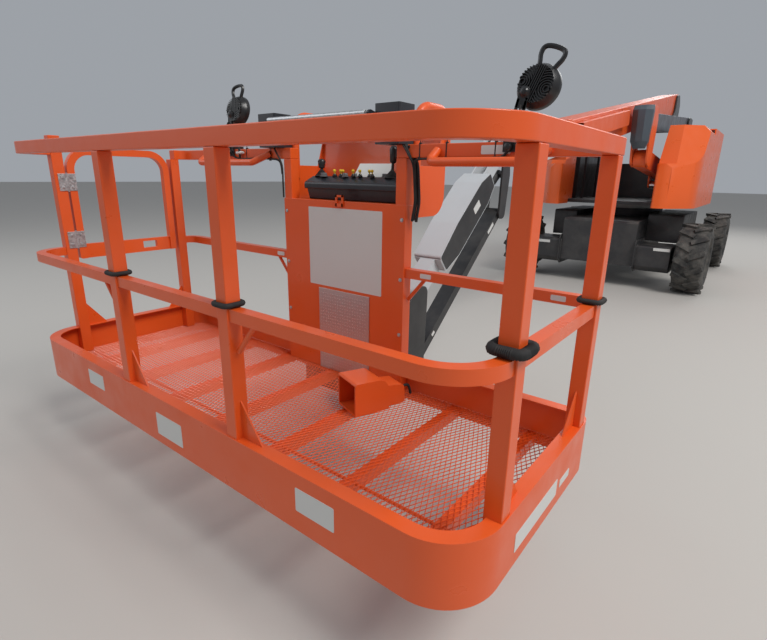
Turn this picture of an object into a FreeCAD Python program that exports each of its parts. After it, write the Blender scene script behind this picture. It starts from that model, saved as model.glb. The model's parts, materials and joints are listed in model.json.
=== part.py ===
"""Articulating boom lift: a self-propelled work platform on a jib, a telescopic boom and a folding riser.

Units are millimetres. +Z is up, +Y points from the platform back to the machine, and +X is to the
right of somebody who faces the machine across the platform. The origin is on the ground, under the
middle of the whole machine as it is parked.
"""
import FreeCAD, Part
import math
import os

V = FreeCAD.Vector
X, Y, Z = V(1, 0, 0), V(0, 1, 0), V(0, 0, 1)

# Wheels and chassis
WHEELBASE = 2500
TRACK = 2110
TYRE_R = 418
TYRE_W = 330
LUG_H = 26
LUGS_A_SIDE = 14
RIM_R = 215
HUB_R = 95
KINGPIN_R = 32
KINGPIN_IN = 225          # from the wheel's middle in to the kingpin
AXLE_BEAM_H = 200
AXLE_BEAM_D = 190
FRAME_W = 900
FRAME_Z = (420, 830)
FRAME_ENDS = (290, 150)   # how far in front of the front axle it starts, and of the rear axle it ends
BEAM_Z = (235, 550)
HUB_REACH = 250           # wheel's middle to the inner end of its hub
PLATE = 12
RUN_GAP = 6               # running clearance between parts that move
SEAT = 0.3                # gap between pieces that rest against each other
TIE_Z = 690               # tie-down lugs: height, reach, rounding, hole, plate, and distance from the frame's end
TIE_OUT = 80
TIE_R = 45
TIE_HOLE_R = 22
TIE_T = 25
TIE_IN = 60

# Slew and turntable
SLEW_R = 430
TOWER_R = 450
SLEW_Z = (930, 1012)
DECK_Z = (1012, 1052)
DECK_FRONT = -1150        # from the slew axis
DECK_REAR = 1180
HOOD_IN = {-1: 550, 1: 550}     # left and right hood's inner edge from the machine's middle
HOOD_OUT = 960
DECK_HALF_W = HOOD_OUT - 60
HOOD_FRONT = -1540
HOOD_REAR = 1270
HOOD_LOW = 1000
HOOD_TOP = 1960
HOOD_WALL = 14
HOOD_LEDGE = 1510         # height of the ledge across the hood's nose
HOOD_LEDGE_D = 95
HOOD_NOSE = (0.80, 0.60)   # the nose plane's normal, forwards and up
HOOD_POSTS = (-620, 0, 620)    # posts of the hoods' hinge rails, from the slew axis
HINGE_GAP = 12
HINGE_RAIL = 30
HINGE_R = 8

# Riser, in the plane beside the boom
RISER_X = 330
RISER_FOOT = (760, 1330)       # lower arm's pin: behind the slew axis, height
RISER_KNEE_LOW = (-1650, 1560)  # lower arm's front pin
RISER_KNEE_TOP = (-1650, 1950)  # upper arm's front pin
RISER_HEAD = (900, 2130)       # upper arm's rear pin
RISER_W = 130
RISER_H = 200
CHEEK_T = 30              # turntable's plates beside the riser's foot

# Boom, jib and platform, in one plane
UPRIGHT_T = 20            # plates of the upright, and how far its back stands behind the boom's pin
UPRIGHT_BACK = 190
BOOM_OFFSET = 120         # the boom's plane stands this far to the right of the chassis's
BOOM_PIN = (930, 2430)    # behind the slew axis, height
BOOM_SLOPE = 9.4          # degrees down towards the platform
BOOM_RUN = 5800           # level distance from the boom's pin to the nose pin
BOOM_W, BOOM_H = 250, 290
FLY_W, FLY_H = 190, 235
TRAY_RUN = (3100, 4650)   # hose tray's stretch along the boom
TRAY_SIZE = (56, 150, 4)
TRAY_GAP = 14
FLY_OUT = 1000             # how far the fly section stands out as parked
NOSE_UP = 60             # nose pin above the fly's centre line
JIB_RUN = 1000
JIB_DROP = 860
JIB_H = 180
JIB_W = 190
LINK_DROP = 440           # parallel link's pins below the jib's
LINK_FORWARD = 15
LINK_W = 56
FORK = 520                # open depth of the fork at the fly's nose
SUPPORT_LEN = 220         # jib's lower pin to the rotator's axis
ROTATOR_R = 88
ROTATOR_BACK = 420        # rotator's axis behind the platform
EAR_R = 75                # platform's ears round the rotator's shaft
EAR_T = 30
EAR_FOOT = 110            # half width of an ear at the platform
SHAFT_R = 40
PIN_R = 25

# Platform
DECK_L, DECK_D = 2440, 910
PLATFORM_Z = 350
TOE_H = 190
TOE_T = 4
FLANGE = 45
CORNER_FRONT, CORNER_REAR = 170, 90
FLOOR_UP = 50
RAIL_TOP = 1100           # top of the top rail above the platform's underside
RAIL = 50
MID_TOP = 610
MID = 38
POST = 50
GATE_T = 34
GATE_GAP = 12
GATE_HINGE_R = GATE_GAP / 2 - 0.3
MEMBERS = 7               # the floor's cross members
MEMBER_IN = 200
MEMBER_W = 36
CONSOLE = (-300, 420)     # outer sides of the console's posts, from the platform's middle
CONSOLE_TOP = 870
PANEL_T = 3
SHELF_BACK = 160
TREAD = (-75, 240)
TREAD_TOP = 460
TREAD_T = 3
BRACE = 95                # small braces under the mid rail
BRACE_R = 8
GUARD_R = 16              # hand guards: tube, bend, and how far they stand off the rail
GUARD_BEND = 26
GUARD_OUT = 58
GUARD_DROP = 42
GUARD_RAMP = 70
HOOP_BACK = 244           # console's side frames: how far back, foot, rear corner, top
HOOP_LOW = 815
HOOP_STEP = (168, 1023)
HOOP_HIGH = 1167
HOOP_TOP = 1250
HOOP_R = 19
BACK_T = 4
BOX_X = (-185, 360)       # control box
BOX_FRONT, BOX_REAR = 32, 150
BOX_TOP = 975
SENSOR = (120, 105, 148)
SENSOR_OFF = {-1: -75, 1: -35}     # a sensor box's middle from its post
BAR_Y_OUT = 150
BAR_UP = 112
BAR_R = 11
ARM_T = 10
HINGES_UP = (600, 880)
HINGE_L = 90
GATE_Z = (545, 1090)
GATE_BAR = 72
LAMP_R = 82
LAMP_DEEP = 62
SWITCH_AT = (401, -218, -20)   # foot switch: x from the platform's middle, y from its rear, turn

CHASSIS_X = -BOOM_OFFSET / 2
BOOM_X = BOOM_OFFSET / 2
REACH = BOOM_RUN - BOOM_PIN[0] + JIB_RUN + SUPPORT_LEN + ROTATOR_BACK + DECK_D
TAIL = WHEELBASE / 2 + TYRE_R
SLEW_Y = (REACH - TAIL) / 2
FRONT_Y = SLEW_Y - REACH
REAR_Y = FRONT_Y + DECK_D
FRONT_AXLE_Y = SLEW_Y - WHEELBASE / 2
REAR_AXLE_Y = SLEW_Y + WHEELBASE / 2
BAR_Y = REAR_Y - BAR_Y_OUT


def at(run, height):
    """A place behind the slew axis, as a (y, z) pair."""
    return (SLEW_Y + run, height)


def boom_point(along, up):
    """A (y, z) place on the boom: along it from its pin towards the nose, and above its centre line."""
    a = math.radians(BOOM_SLOPE)
    y, z = at(*BOOM_PIN)
    return (y - along * math.cos(a) - up * math.sin(a), z - along * math.sin(a) + up * math.cos(a))


NOSE_DIST = (BOOM_RUN - NOSE_UP * math.sin(math.radians(BOOM_SLOPE))) / math.cos(math.radians(BOOM_SLOPE))
NOSE_PIN = boom_point(NOSE_DIST, NOSE_UP)
JIB_TOP_PIN = NOSE_PIN
JIB_LOW_PIN = (NOSE_PIN[0] - JIB_RUN, NOSE_PIN[1] - JIB_DROP)
LINK_TOP_PIN = (JIB_TOP_PIN[0] - LINK_FORWARD, JIB_TOP_PIN[1] - LINK_DROP)
LINK_LOW_PIN = (JIB_LOW_PIN[0] - LINK_FORWARD, JIB_LOW_PIN[1] - LINK_DROP)
ROTATOR_Y = JIB_LOW_PIN[0] - SUPPORT_LEN
JIB_SLOPE = math.degrees(math.atan2(JIB_DROP, JIB_RUN))
ROTATOR_Z = (LINK_LOW_PIN[1] + 60, LINK_LOW_PIN[1] + 420)


def block(x0, x1, y0, y1, z0, z1):
    return Part.makeBox(x1 - x0, y1 - y0, z1 - z0, V(x0, y0, z0))


def rod(start, end, radius):
    along = end - start
    return Part.makeCylinder(radius, along.Length, start, along)


def fused(shapes):
    shapes = [s for s in shapes if s is not None]
    whole = shapes[0].multiFuse(shapes[1:]) if len(shapes) > 1 else shapes[0]
    return whole.removeSplitter()


def loop(corners, place):
    """A closed wire round (u, v, radius) corners; place turns (u, v) into a point."""
    def spot(p):
        return place(p.x, p.y)

    spots = [V(u, v, 0) for u, v, r in corners]
    edges = []
    ends = []
    for i, (u, v, r) in enumerate(corners):
        here, before, after = spots[i], spots[i - 1], spots[(i + 1) % len(spots)]
        if r <= 0:
            ends.append((here, None, here))
            continue
        a, b = (before - here).normalize(), (after - here).normalize()
        half = math.acos(max(-1, min(1, a.dot(b)))) / 2
        run = r / math.tan(half)
        middle = here + (a + b).normalize() * (r / math.sin(half) - r)
        ends.append((here + a * run, middle, here + b * run))
    for i, (first, middle, last) in enumerate(ends):
        if middle is not None:
            edges.append(Part.Arc(spot(first), spot(middle), spot(last)).toShape())
        following = ends[(i + 1) % len(ends)][0]
        if (following - last).Length > 1e-6:
            edges.append(Part.LineSegment(spot(last), spot(following)).toShape())
    return Part.Wire(Part.__sortEdges__(edges))


def side_plate(corners, x0, x1):
    """A solid whose outline is seen from the side: (y, z, radius) corners, from x0 to x1."""
    wire = loop(corners, lambda u, v: V(x0, u, v))
    return Part.Face(wire).extrude(V(x1 - x0, 0, 0))


def floor_plate(corners, z0, z1):
    """A solid whose outline is seen from above: (x, y, radius) corners, from z0 to z1."""
    wire = loop(corners, lambda u, v: V(u, v, z0))
    return Part.Face(wire).extrude(V(0, 0, z1 - z0))


def beam(start, end, width, height, wall, x):
    """A box-section arm between two (y, z) pins, centred on x."""
    along = V(0, end[0] - start[0], end[1] - start[1])
    length = along.Length
    solid = Part.makeBox(width, length, height, V(-width / 2, 0, -height / 2))
    if wall:
        hole = Part.makeBox(width - 2 * wall, length + 2, height - 2 * wall,
                            V(-width / 2 + wall, -1, -height / 2 + wall))
        solid = solid.cut(hole)
    solid.rotate(V(0, 0, 0), X, math.degrees(math.atan2(along.z, along.y)))
    solid.translate(V(x, start[0], start[1]))
    return solid


def boss(pin, radius, x0, x1):
    return Part.makeCylinder(radius, x1 - x0, V(x0, pin[0], pin[1]), X)


# Wheels

def tyre(x, y):
    """An air tyre with a chevron of lugs on each half of its tread."""
    half = TYRE_W / 2
    body_r = TYRE_R - LUG_H
    section = [(-half + 45, RIM_R, 0), (-half + 8, RIM_R + 40, 30), (-half, RIM_R + 95, 0),
               (-half + 22, body_r - 12, 30), (-half + 60, body_r, 0),
               (half - 60, body_r, 0), (half - 22, body_r - 12, 30), (half, RIM_R + 95, 0),
               (half - 8, RIM_R + 40, 30), (half - 45, RIM_R, 0)]
    wire = loop(section, lambda u, v: V(u, 0, v))
    carcass = Part.Face(wire).revolve(V(0, 0, 0), X, 360)
    pitch = 360 / LUGS_A_SIDE
    lugs = []
    for side in (-1, 1):
        for i in range(LUGS_A_SIDE):
            lug = Part.makeBox(half + 12, 52, LUG_H + 16, V(0, -26, 0))
            lug.rotate(V(0, 0, 0), Z, 26)
            lug.translate(V(-10, 0, TYRE_R - LUG_H - 16))
            if side < 0:
                lug = lug.mirror(V(0, 0, 0), X)
            lug.rotate(V(0, 0, 0), X, (i + (0.25 if side > 0 else -0.25)) * pitch)
            lugs.append(lug)
    drum = rod(V(-half + 2, 0, 0), V(half - 2, 0, 0), TYRE_R)
    tread = Part.makeCompound(lugs).common(drum)
    solid = carcass.fuse(tread.Solids)
    solid.translate(V(x, y, TYRE_R))
    return solid


def rim(x, y, side):
    """A pressed steel wheel: a barrel with a dished disc, a hub and a bead at each edge."""
    half = TYRE_W / 2 - 45
    r = RIM_R - 0.3
    section = [(-half, r, 0), (-half, r - 20, 0), (-half + 30, r - 34, 0), (30, r - 34, 0), (44, 118, 14),
               (66, 90, 0), (66, 0, 0), (84, 0, 0), (84, 96, 0), (62, 126, 14), (48, r - 34, 0),
               (half - 30, r - 34, 0), (half, r - 20, 0), (half, r, 0), (half - 12, r, 0),
               (half - 40, r - 16, 0), (-half + 40, r - 16, 0), (-half + 12, r, 0)]
    wire = loop([(u * side, v, c) for u, v, c in section], lambda u, v: V(u, 0, v))
    solid = Part.Face(wire).revolve(V(0, 0, 0), X, 360)
    nuts = []
    for i in range(9):
        turn = math.radians(i * 40)
        spot = V(side * 66, math.sin(turn) * 62, math.cos(turn) * 62)
        nuts.append(rod(spot, spot + V(side * 40, 0, 0), 14))
    solid = solid.fuse(nuts)
    solid.translate(V(x, y, TYRE_R))
    return solid


def hub_flange(x, y, side, reach=HUB_REACH):
    """The flange that carries a wheel, up to the disc's inner face."""
    face = x + side * 66
    inner = x - side * reach
    return rod(V(inner, y, TYRE_R), V(face - side * 0.3, y, TYRE_R), HUB_R - 12)


WHEELS = {
    # name: side (left is -1), axle's y
    "front_left": (-1, FRONT_AXLE_Y),
    "front_right": (1, FRONT_AXLE_Y),
    "rear_left": (-1, REAR_AXLE_Y),
    "rear_right": (1, REAR_AXLE_Y),
}


def wheel_x(side):
    return CHASSIS_X + side * TRACK / 2


def kingpin_x(side):
    return wheel_x(side) - side * KINGPIN_IN


# Chassis

def chassis_frame():
    """The main frame between the axles, with the front cross beam and the slew ring's tower."""
    c = CHASSIS_X
    half = FRAME_W / 2
    y0, y1 = FRONT_AXLE_Y - FRAME_ENDS[0], REAR_AXLE_Y - FRAME_ENDS[1]
    z0, z1 = FRAME_Z
    body = side_plate([(y0 + 30, z0 - 140, 0), (y0 + 520, z0 - 140, 60), (y0 + 720, z0, 60), (y1 - 60, z0, 0),
                       (y1, z0 + 60, 0), (y1, z1 - 60, 40), (y1 - 300, z1, 0), (y0 + 60, z1, 30),
                       (y0 + 30, z1 - 30, 0)], c - half, c + half)
    tower = rod(V(c, SLEW_Y, z1 - 10), V(c, SLEW_Y, SLEW_Z[0]), TOWER_R)
    lugs = [tie_down(side, c + side * half, y1 - TIE_IN) for side in (-1, 1)]
    return fused([body, tower] + lugs)


def tie_down(side, x, y):
    """A drilled lug on the frame's side, with its hole fore and aft, for the shackle of a tie-down chain."""
    z = TIE_Z
    tip = x + side * TIE_OUT
    wire = loop([(x - side * 20, z - TIE_R - 40, 0), (tip, z - TIE_R, TIE_R), (tip, z + TIE_R, TIE_R),
                 (x - side * 20, z + TIE_R + 20, 0)], lambda u, v: V(u, y, v))
    plate = Part.Face(wire).extrude(V(0, TIE_T, 0))
    middle = tip - side * TIE_R
    return plate.cut(rod(V(middle, y - TIE_T, z), V(middle, y + 2 * TIE_T, z), TIE_HOLE_R))


def front_beam():
    """The fixed front axle: a deep box beam across the machine, its ends flanged for the hubs."""
    c = CHASSIS_X
    half = TRACK / 2 - TYRE_W / 2 - 40
    y0, y1 = FRONT_AXLE_Y - 270, FRONT_AXLE_Y + 200
    gap = FRAME_W / 2 + 0.3
    parts = []
    for side in (-1, 1):
        x0, x1 = sorted((c + side * gap, c + side * half))
        box = side_plate([(y0, BEAM_Z[0] + 60, 30), (y0 + 60, BEAM_Z[0], 30), (y1, BEAM_Z[0], 0),
                          (y1, BEAM_Z[1], 0), (y0, BEAM_Z[1], 30)], x0, x1)
        rib_x = c + side * (gap + 8)
        rib = side_plate([(y0 - 45, BEAM_Z[0] + 40, 20), (y0 + 40, BEAM_Z[0] - 20, 20), (y1, BEAM_Z[0] - 20, 0),
                          (y1, BEAM_Z[1] + 60, 0), (y0 - 45, BEAM_Z[1] + 60, 60)],
                         min(rib_x, rib_x + side * PLATE), max(rib_x, rib_x + side * PLATE))
        parts.append(fused([box, rib, hub_flange(wheel_x(side), FRONT_AXLE_Y, side)]))
    return Part.makeCompound(parts)


def chassis_boxes():
    """The sheet-metal covers beside the frame, front left, front right and rear."""
    c = CHASSIS_X
    rows = [
        # inner x, outer x, front y, rear y, top z (from the chassis's middle and the slew axis)
        (-450.3, -760, -1000, 330, 900),
        (450.3, 860, -960, 300, 900),
    ]
    solids = []
    for inner, outer, front, rear, top in rows:
        x0, x1 = sorted((c + inner, c + outer))
        solids.append(side_plate([(SLEW_Y + front, 560, 0), (SLEW_Y + rear, 560, 30), (SLEW_Y + rear, top, 30),
                                  (SLEW_Y + front, top, 30)], x0, x1))
    return Part.makeCompound(solids)


def rear_axle():
    """The steering axle's beam, pinned under the frame, with a yoke at each end."""
    c = CHASSIS_X
    z = TYRE_R
    half = TRACK / 2 - KINGPIN_IN
    y0, y1 = REAR_AXLE_Y - AXLE_BEAM_D / 2, REAR_AXLE_Y + AXLE_BEAM_D / 2
    bottom = z - AXLE_BEAM_H / 2
    wire = loop([(c - half + 140, bottom, 40), (c + half - 140, bottom, 40), (c + half - 100, z + 70, 20),
                 (c + 200, z + AXLE_BEAM_H / 2, 40), (c - 200, z + AXLE_BEAM_H / 2, 40),
                 (c - half + 100, z + 70, 20)], lambda u, v: V(u, y0, v))
    body = Part.Face(wire).extrude(V(0, y1 - y0, 0))
    ears = []
    for side in (-1, 1):
        x = kingpin_x(side)
        for zc in (z + 84, z - 84):
            ears.append(rod(V(x, REAR_AXLE_Y, zc - 16), V(x, REAR_AXLE_Y, zc + 16), 62))
            x0, x1 = sorted((x, x - side * 140))
            ears.append(block(x0, x1, REAR_AXLE_Y - 55, REAR_AXLE_Y + 55, zc - 16, zc + 16))
    saddle = block(c - 170, c + 170, y0 - 205, y0 + 20, z - 60, FRAME_Z[0] - SEAT)
    holes = [rod(V(kingpin_x(side), REAR_AXLE_Y, 0), V(kingpin_x(side), REAR_AXLE_Y, 2 * z), KINGPIN_R + 0.3)
             for side in (-1, 1)]
    return fused([body, saddle] + ears).cut(holes)


def knuckle(side):
    """A steering knuckle: a kingpin, the stub that carries the wheel, and the steering arm."""
    x = kingpin_x(side)
    z = TYRE_R
    pin = rod(V(x, REAR_AXLE_Y, z - 118), V(x, REAR_AXLE_Y, z + 118), KINGPIN_R)
    post = rod(V(x, REAR_AXLE_Y, z - 62), V(x, REAR_AXLE_Y, z + 62), 58)
    stub = hub_flange(wheel_x(side), REAR_AXLE_Y, side, KINGPIN_IN - 40).cut(
        block(x - 90, x + 90, REAR_AXLE_Y - 90, REAR_AXLE_Y + 90, z + 62, z + 120)).cut(
        block(x - 90, x + 90, REAR_AXLE_Y - 90, REAR_AXLE_Y + 90, z - 120, z - 62))
    arm = floor_plate([(x - 30, REAR_AXLE_Y + 30, 0), (x + 30, REAR_AXLE_Y + 30, 0), (x + 30 - side * 30,
                      REAR_AXLE_Y + 215, 25), (x - 30 - side * 30, REAR_AXLE_Y + 215, 25)], z - 22, z + 8)
    return fused([pin, post, stub, arm])


# Turntable

def slew_ring():
    c = CHASSIS_X
    ring = rod(V(c, SLEW_Y, SLEW_Z[0] + 0.3), V(c, SLEW_Y, SLEW_Z[1]), SLEW_R)
    return ring


def turntable():
    """The deck, the two riser cheeks at its rear, the pins they hold and the hoods' hinge rails."""
    c, y = CHASSIS_X, SLEW_Y
    deck = floor_plate([(c - DECK_HALF_W, y + DECK_FRONT + 320, 60), (c - 560, y + DECK_FRONT, 120),
                        (c + 560, y + DECK_FRONT, 120), (c + DECK_HALF_W, y + DECK_FRONT + 320, 60),
                        (c + DECK_HALF_W, y + DECK_REAR - 380, 120), (c + 600, y + DECK_REAR, 120),
                        (c - 600, y + DECK_REAR, 120), (c - DECK_HALF_W, y + DECK_REAR - 380, 120)],
                       DECK_Z[0] + SEAT, DECK_Z[1])
    foot = at(*RISER_FOOT)
    parts = [deck]
    inner = RISER_W / 2 + RUN_GAP
    for side in (-1, 1):
        x0, x1 = sorted((RISER_X + side * inner, RISER_X + side * (inner + CHEEK_T)))
        parts.append(side_plate([(foot[0] - 420, DECK_Z[1] - 2, 0), (foot[0] + 240, DECK_Z[1] - 2, 0),
                                 (foot[0] + 130, foot[1] + 110, 90), (foot[0] - 110, foot[1] + 110, 90),
                                 (foot[0] - 330, foot[1] - 90, 60)], x0, x1))
    parts.append(boss(foot, PIN_R + 10, RISER_X - inner - CHEEK_T - 15, RISER_X + inner + CHEEK_T + 15))
    parts.append(boss(CYLINDERS["riser"]["barrel_pin"], PIN_R, RISER_X - inner - CHEEK_T, RISER_X + inner + CHEEK_T))
    for side in (-1, 1):
        inner_x = c + side * (HOOD_IN[side] - HINGE_GAP)
        x0, x1 = sorted((inner_x, inner_x - side * HINGE_RAIL))
        hx, hz = hood_hinge(side)
        h0, h1 = sorted((hx, hx - side * HINGE_RAIL))
        parts.append(block(x0, x1, y + HOOD_POSTS[0] - 20, y + HOOD_POSTS[-1] + 20, HOOD_TOP - 60, HOOD_TOP - 30))
        for run in HOOD_POSTS:
            parts.append(block(x0, x1, y + run - 20, y + run + 20, DECK_Z[1] - 2, HOOD_TOP - 30))
            parts.append(rod(V(hx, y + run - 40, hz), V(hx, y + run + 40, hz), HINGE_R))
            parts.append(block(h0, h1, y + run - 20, y + run + 20, HOOD_TOP - 45, hz + 2))
    return fused(parts)


def hood_hinge(side):
    """The (x, z) place of a hood's hinge line, just inside its upper inner edge."""
    return CHASSIS_X + side * (HOOD_IN[side] - HINGE_R - 0.3), HOOD_TOP - HOOD_WALL / 2


def counterweight():
    """Cast ballast across the turntable's rear, beside the riser's foot."""
    c, y = CHASSIS_X, SLEW_Y
    left = c - HOOD_IN[-1] + HINGE_GAP + HINGE_RAIL + RUN_GAP
    right = RISER_X - RISER_W / 2 - RUN_GAP - CHEEK_T - 15 - RUN_GAP
    rear = y + DECK_REAR - 20
    return floor_plate([(left, y + 560, 0), (right, y + 560, 0), (right, rear, 60), (left, rear, 60)],
                       DECK_Z[1] + SEAT, 1560)


def engine():
    """The engine, one plain block at its place under the left hood."""
    c, y = CHASSIS_X, SLEW_Y
    inner, outer = HOOD_IN[-1] + 60, HOOD_OUT - 130
    return block(c - outer, c - inner, y - 620, y + 320, DECK_Z[1] + SEAT, 1640)


def tanks():
    """The oil and fuel tanks under the right hood, as one block."""
    c, y = CHASSIS_X, SLEW_Y
    inner, outer = c + HOOD_IN[1] + 80, c + HOOD_OUT - 130
    return floor_plate([(inner, y - 720, 40), (outer, y - 560, 40), (outer, y + 560, 40), (inner, y + 560, 40)],
                       DECK_Z[1] + SEAT, 1560)


def hood_block(side, inset):
    """The hood's outer form, drawn in by inset: round in plan, with a ledge and facets at the nose."""
    c, y = CHASSIS_X, SLEW_Y
    inner, outer = c + side * (HOOD_IN[side] + inset), c + side * (HOOD_OUT - inset)
    front, rear = y + HOOD_FRONT + inset, y + HOOD_REAR - inset
    low = HOOD_LOW - (60 if inset else 0)
    top = HOOD_TOP - inset
    plan = [(inner, front, 30), (inner + side * 150, front, 160), (outer, front + 360, 380),
            (outer, rear - 480, 420), (inner + side * 180, rear, 200), (inner, rear, 0)]
    body = floor_plate(plan, low, top)
    ledge = HOOD_LEDGE - inset
    nose = half_space(V(0, front + HOOD_LEDGE_D, ledge), V(0, -HOOD_NOSE[0], HOOD_NOSE[1]))
    above = Part.makeBox(6000, 6000, 2000, V(-3000, SLEW_Y - 4000, ledge))
    corner = half_space(V(outer - side * 360, front + 330, top), V(side * 0.62, -0.60, 0.50))
    edge = half_space(V(outer - side * 75, 0, top), V(side, 0, 1))
    tail = half_space(V(0, rear - 420, low), V(0, 0.64, -0.77))
    return body.cut([nose.common(above), corner, edge, tail])


def half_space(point, normal):
    """A big block whose one face passes through point and faces against normal, used to cut a plane."""
    size = 5000
    block_ = Part.makeBox(size, size, size, V(-size / 2, -size / 2, 0))
    block_.Placement = FreeCAD.Placement(point, FreeCAD.Rotation(Z, normal))
    return block_


def hood(side):
    """A one-piece moulded hood, open inwards and downwards."""
    shell = hood_block(side, 0).cut(hood_block(side, HOOD_WALL))
    c = CHASSIS_X
    x0, x1 = sorted((c + side * (HOOD_IN[side] - 50), c + side * (HOOD_IN[side] + HOOD_WALL + 3)))
    open_side = block(x0, x1, SLEW_Y - 1000, SLEW_Y + 900, 0, HOOD_TOP - HOOD_WALL)
    over_deck = block(x0, x1, SLEW_Y + DECK_FRONT - RUN_GAP, SLEW_Y + DECK_REAR + RUN_GAP, 0, DECK_Z[1] + RUN_GAP)
    return shell.cut([open_side, over_deck])


# Riser

def riser_lower():
    """The lower arm, pinned at the turntable's rear, running forward to the knee."""
    foot, knee = at(*RISER_FOOT), at(*RISER_KNEE_LOW)
    arm = beam(foot, knee, RISER_W, RISER_H, 12, RISER_X)
    ends = [boss(foot, RISER_H / 2, RISER_X - RISER_W / 2, RISER_X + RISER_W / 2),
            boss(knee, RISER_H / 2, RISER_X - RISER_W / 2, RISER_X + RISER_W / 2)]
    solid = fused([arm] + ends + ram_lugs("riser", foot, knee, RISER_H / 2))
    return solid.cut([boss(foot, PIN_R + 10.3, RISER_X - RISER_W, RISER_X + RISER_W),
                      boss(knee, PIN_R + 0.3, RISER_X - RISER_W, RISER_X + RISER_W)])


def riser_knee():
    """The knee: two cheeks that carry both arms' front pins, closed by a faceted cover in front."""
    low, top = at(*RISER_KNEE_LOW), at(*RISER_KNEE_TOP)
    parts = []
    for side in (-1, 1):
        x0 = RISER_X + side * (RISER_W / 2 + RUN_GAP)
        x0, x1 = sorted((x0, x0 + side * 22))
        parts.append(side_plate([(low[0] - 125, low[1] - 60, 60), (low[0] + 90, low[1] - 120, 80),
                                 (top[0] + 130, top[1] + 40, 80), (top[0] + 40, top[1] + 165, 60),
                                 (top[0] - 190, top[1] + 165, 50), (top[0] - 190, top[1] - 150, 60)], x0, x1))
    half = RISER_W / 2 + RUN_GAP + 22
    bar = block(RISER_X - half, RISER_X + half, low[0] - 175, low[0] - 151, top[1] - 100, top[1] + 120)
    pins = [boss(low, PIN_R, RISER_X - half, RISER_X + half), boss(top, PIN_R, RISER_X - half, RISER_X + half)]
    return fused(parts + [bar] + pins)


def knee_cover():
    """The grey faceted cover over the knee's front."""
    low, top = at(*RISER_KNEE_LOW), at(*RISER_KNEE_TOP)
    y = low[0] - 190.3
    half = RISER_W / 2 + RUN_GAP + 22
    rows = [
        # height, half width, how far the front stands out
        (top[1] - 290, half - 30, 30),
        (top[1] - 215, half, 90),
        (top[1] + 110, half + 12, 125),
        (top[1] + 160, half + 4, 80),
    ]
    wires = []
    for z, w, out in rows:
        corners = [V(RISER_X - w, y, z), V(RISER_X - w, y - out * 0.55, z), (V(RISER_X - w * 0.35, y - out, z)),
                   V(RISER_X + w * 0.35, y - out, z), V(RISER_X + w, y - out * 0.55, z), V(RISER_X + w, y, z)]
        wires.append(Part.makePolygon(corners + [corners[0]]))
    return Part.makeLoft(wires, True, True)


def riser_upper():
    """The upper arm, from the knee back to the upright's foot."""
    knee, head = at(*RISER_KNEE_TOP), at(*RISER_HEAD)
    arm = beam(knee, head, RISER_W, RISER_H, 12, RISER_X)
    ends = [boss(knee, RISER_H / 2, RISER_X - RISER_W / 2, RISER_X + RISER_W / 2),
            boss(head, RISER_H / 2, RISER_X - RISER_W / 2, RISER_X + RISER_W / 2)]
    solid = fused([arm] + ends)
    for pin in (knee, head):
        solid = solid.cut(boss(pin, PIN_R + 0.3, RISER_X - RISER_W, RISER_X + RISER_W))
    return solid


def upright():
    """The upright at the riser's head: cheeks on the arm's pin, a cross box, and the boom's two plates."""
    head, pin, ram = at(*RISER_HEAD), at(*BOOM_PIN), CYLINDERS["boom"]["barrel_pin"]
    reach = RISER_X + RISER_W / 2 + RUN_GAP + UPRIGHT_T
    rear = pin[0] + UPRIGHT_BACK
    parts = []
    for side in (-1, 1):
        x0 = RISER_X + side * (RISER_W / 2 + RUN_GAP)
        x0, x1 = sorted((x0, x0 + side * UPRIGHT_T))
        parts.append(side_plate([(head[0] - 100, head[1] - 100, 70), (rear, head[1] - 100, 40),
                                 (rear, head[1] + 90, 40), (head[0] - 100, head[1] + 100, 70)], x0, x1))
    half = BOOM_W / 2 + RUN_GAP
    for x0 in (BOOM_X - half - UPRIGHT_T, BOOM_X + half):
        parts.append(side_plate([(ram[0] - 75, ram[1] - 70, 60), (rear - 140, head[1] - 100, 40),
                                 (rear, head[1] - 100, 40), (rear, pin[1] + 10, 80), (pin[0] + 60, pin[1] + 130, 80),
                                 (pin[0] - 110, pin[1] + 130, 90), (pin[0] - 140, pin[1] - 110, 60),
                                 (ram[0] - 75, ram[1] + 70, 60)], x0, x0 + UPRIGHT_T))
    box = block(BOOM_X - half - UPRIGHT_T, reach, rear - 14, rear, head[1] - 85, head[1] + 85)
    pins = [boss(head, PIN_R, RISER_X - RISER_W / 2 - RUN_GAP - UPRIGHT_T, reach),
            boss(pin, PIN_R + 8, BOOM_X - half - UPRIGHT_T, BOOM_X + half + UPRIGHT_T),
            boss(ram, PIN_R, BOOM_X - half - UPRIGHT_T, BOOM_X + half + UPRIGHT_T)]
    return fused(parts + [box] + pins)


# Boom

def boom_box(start, end, width, height, wall):
    return beam(boom_point(start, 0), boom_point(end, 0), width, height, wall, BOOM_X)


BASE_END = NOSE_DIST - FLY_OUT


def pad_ring(start, end, in_w, in_h, out_w, out_h):
    """The wear pads round the fly: a square ring along a stretch of the boom."""
    ring = boom_box(start, end, out_w, out_h, 0)
    return ring.cut(boom_box(start - 1, end + 1, in_w, in_h, 0))


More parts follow.
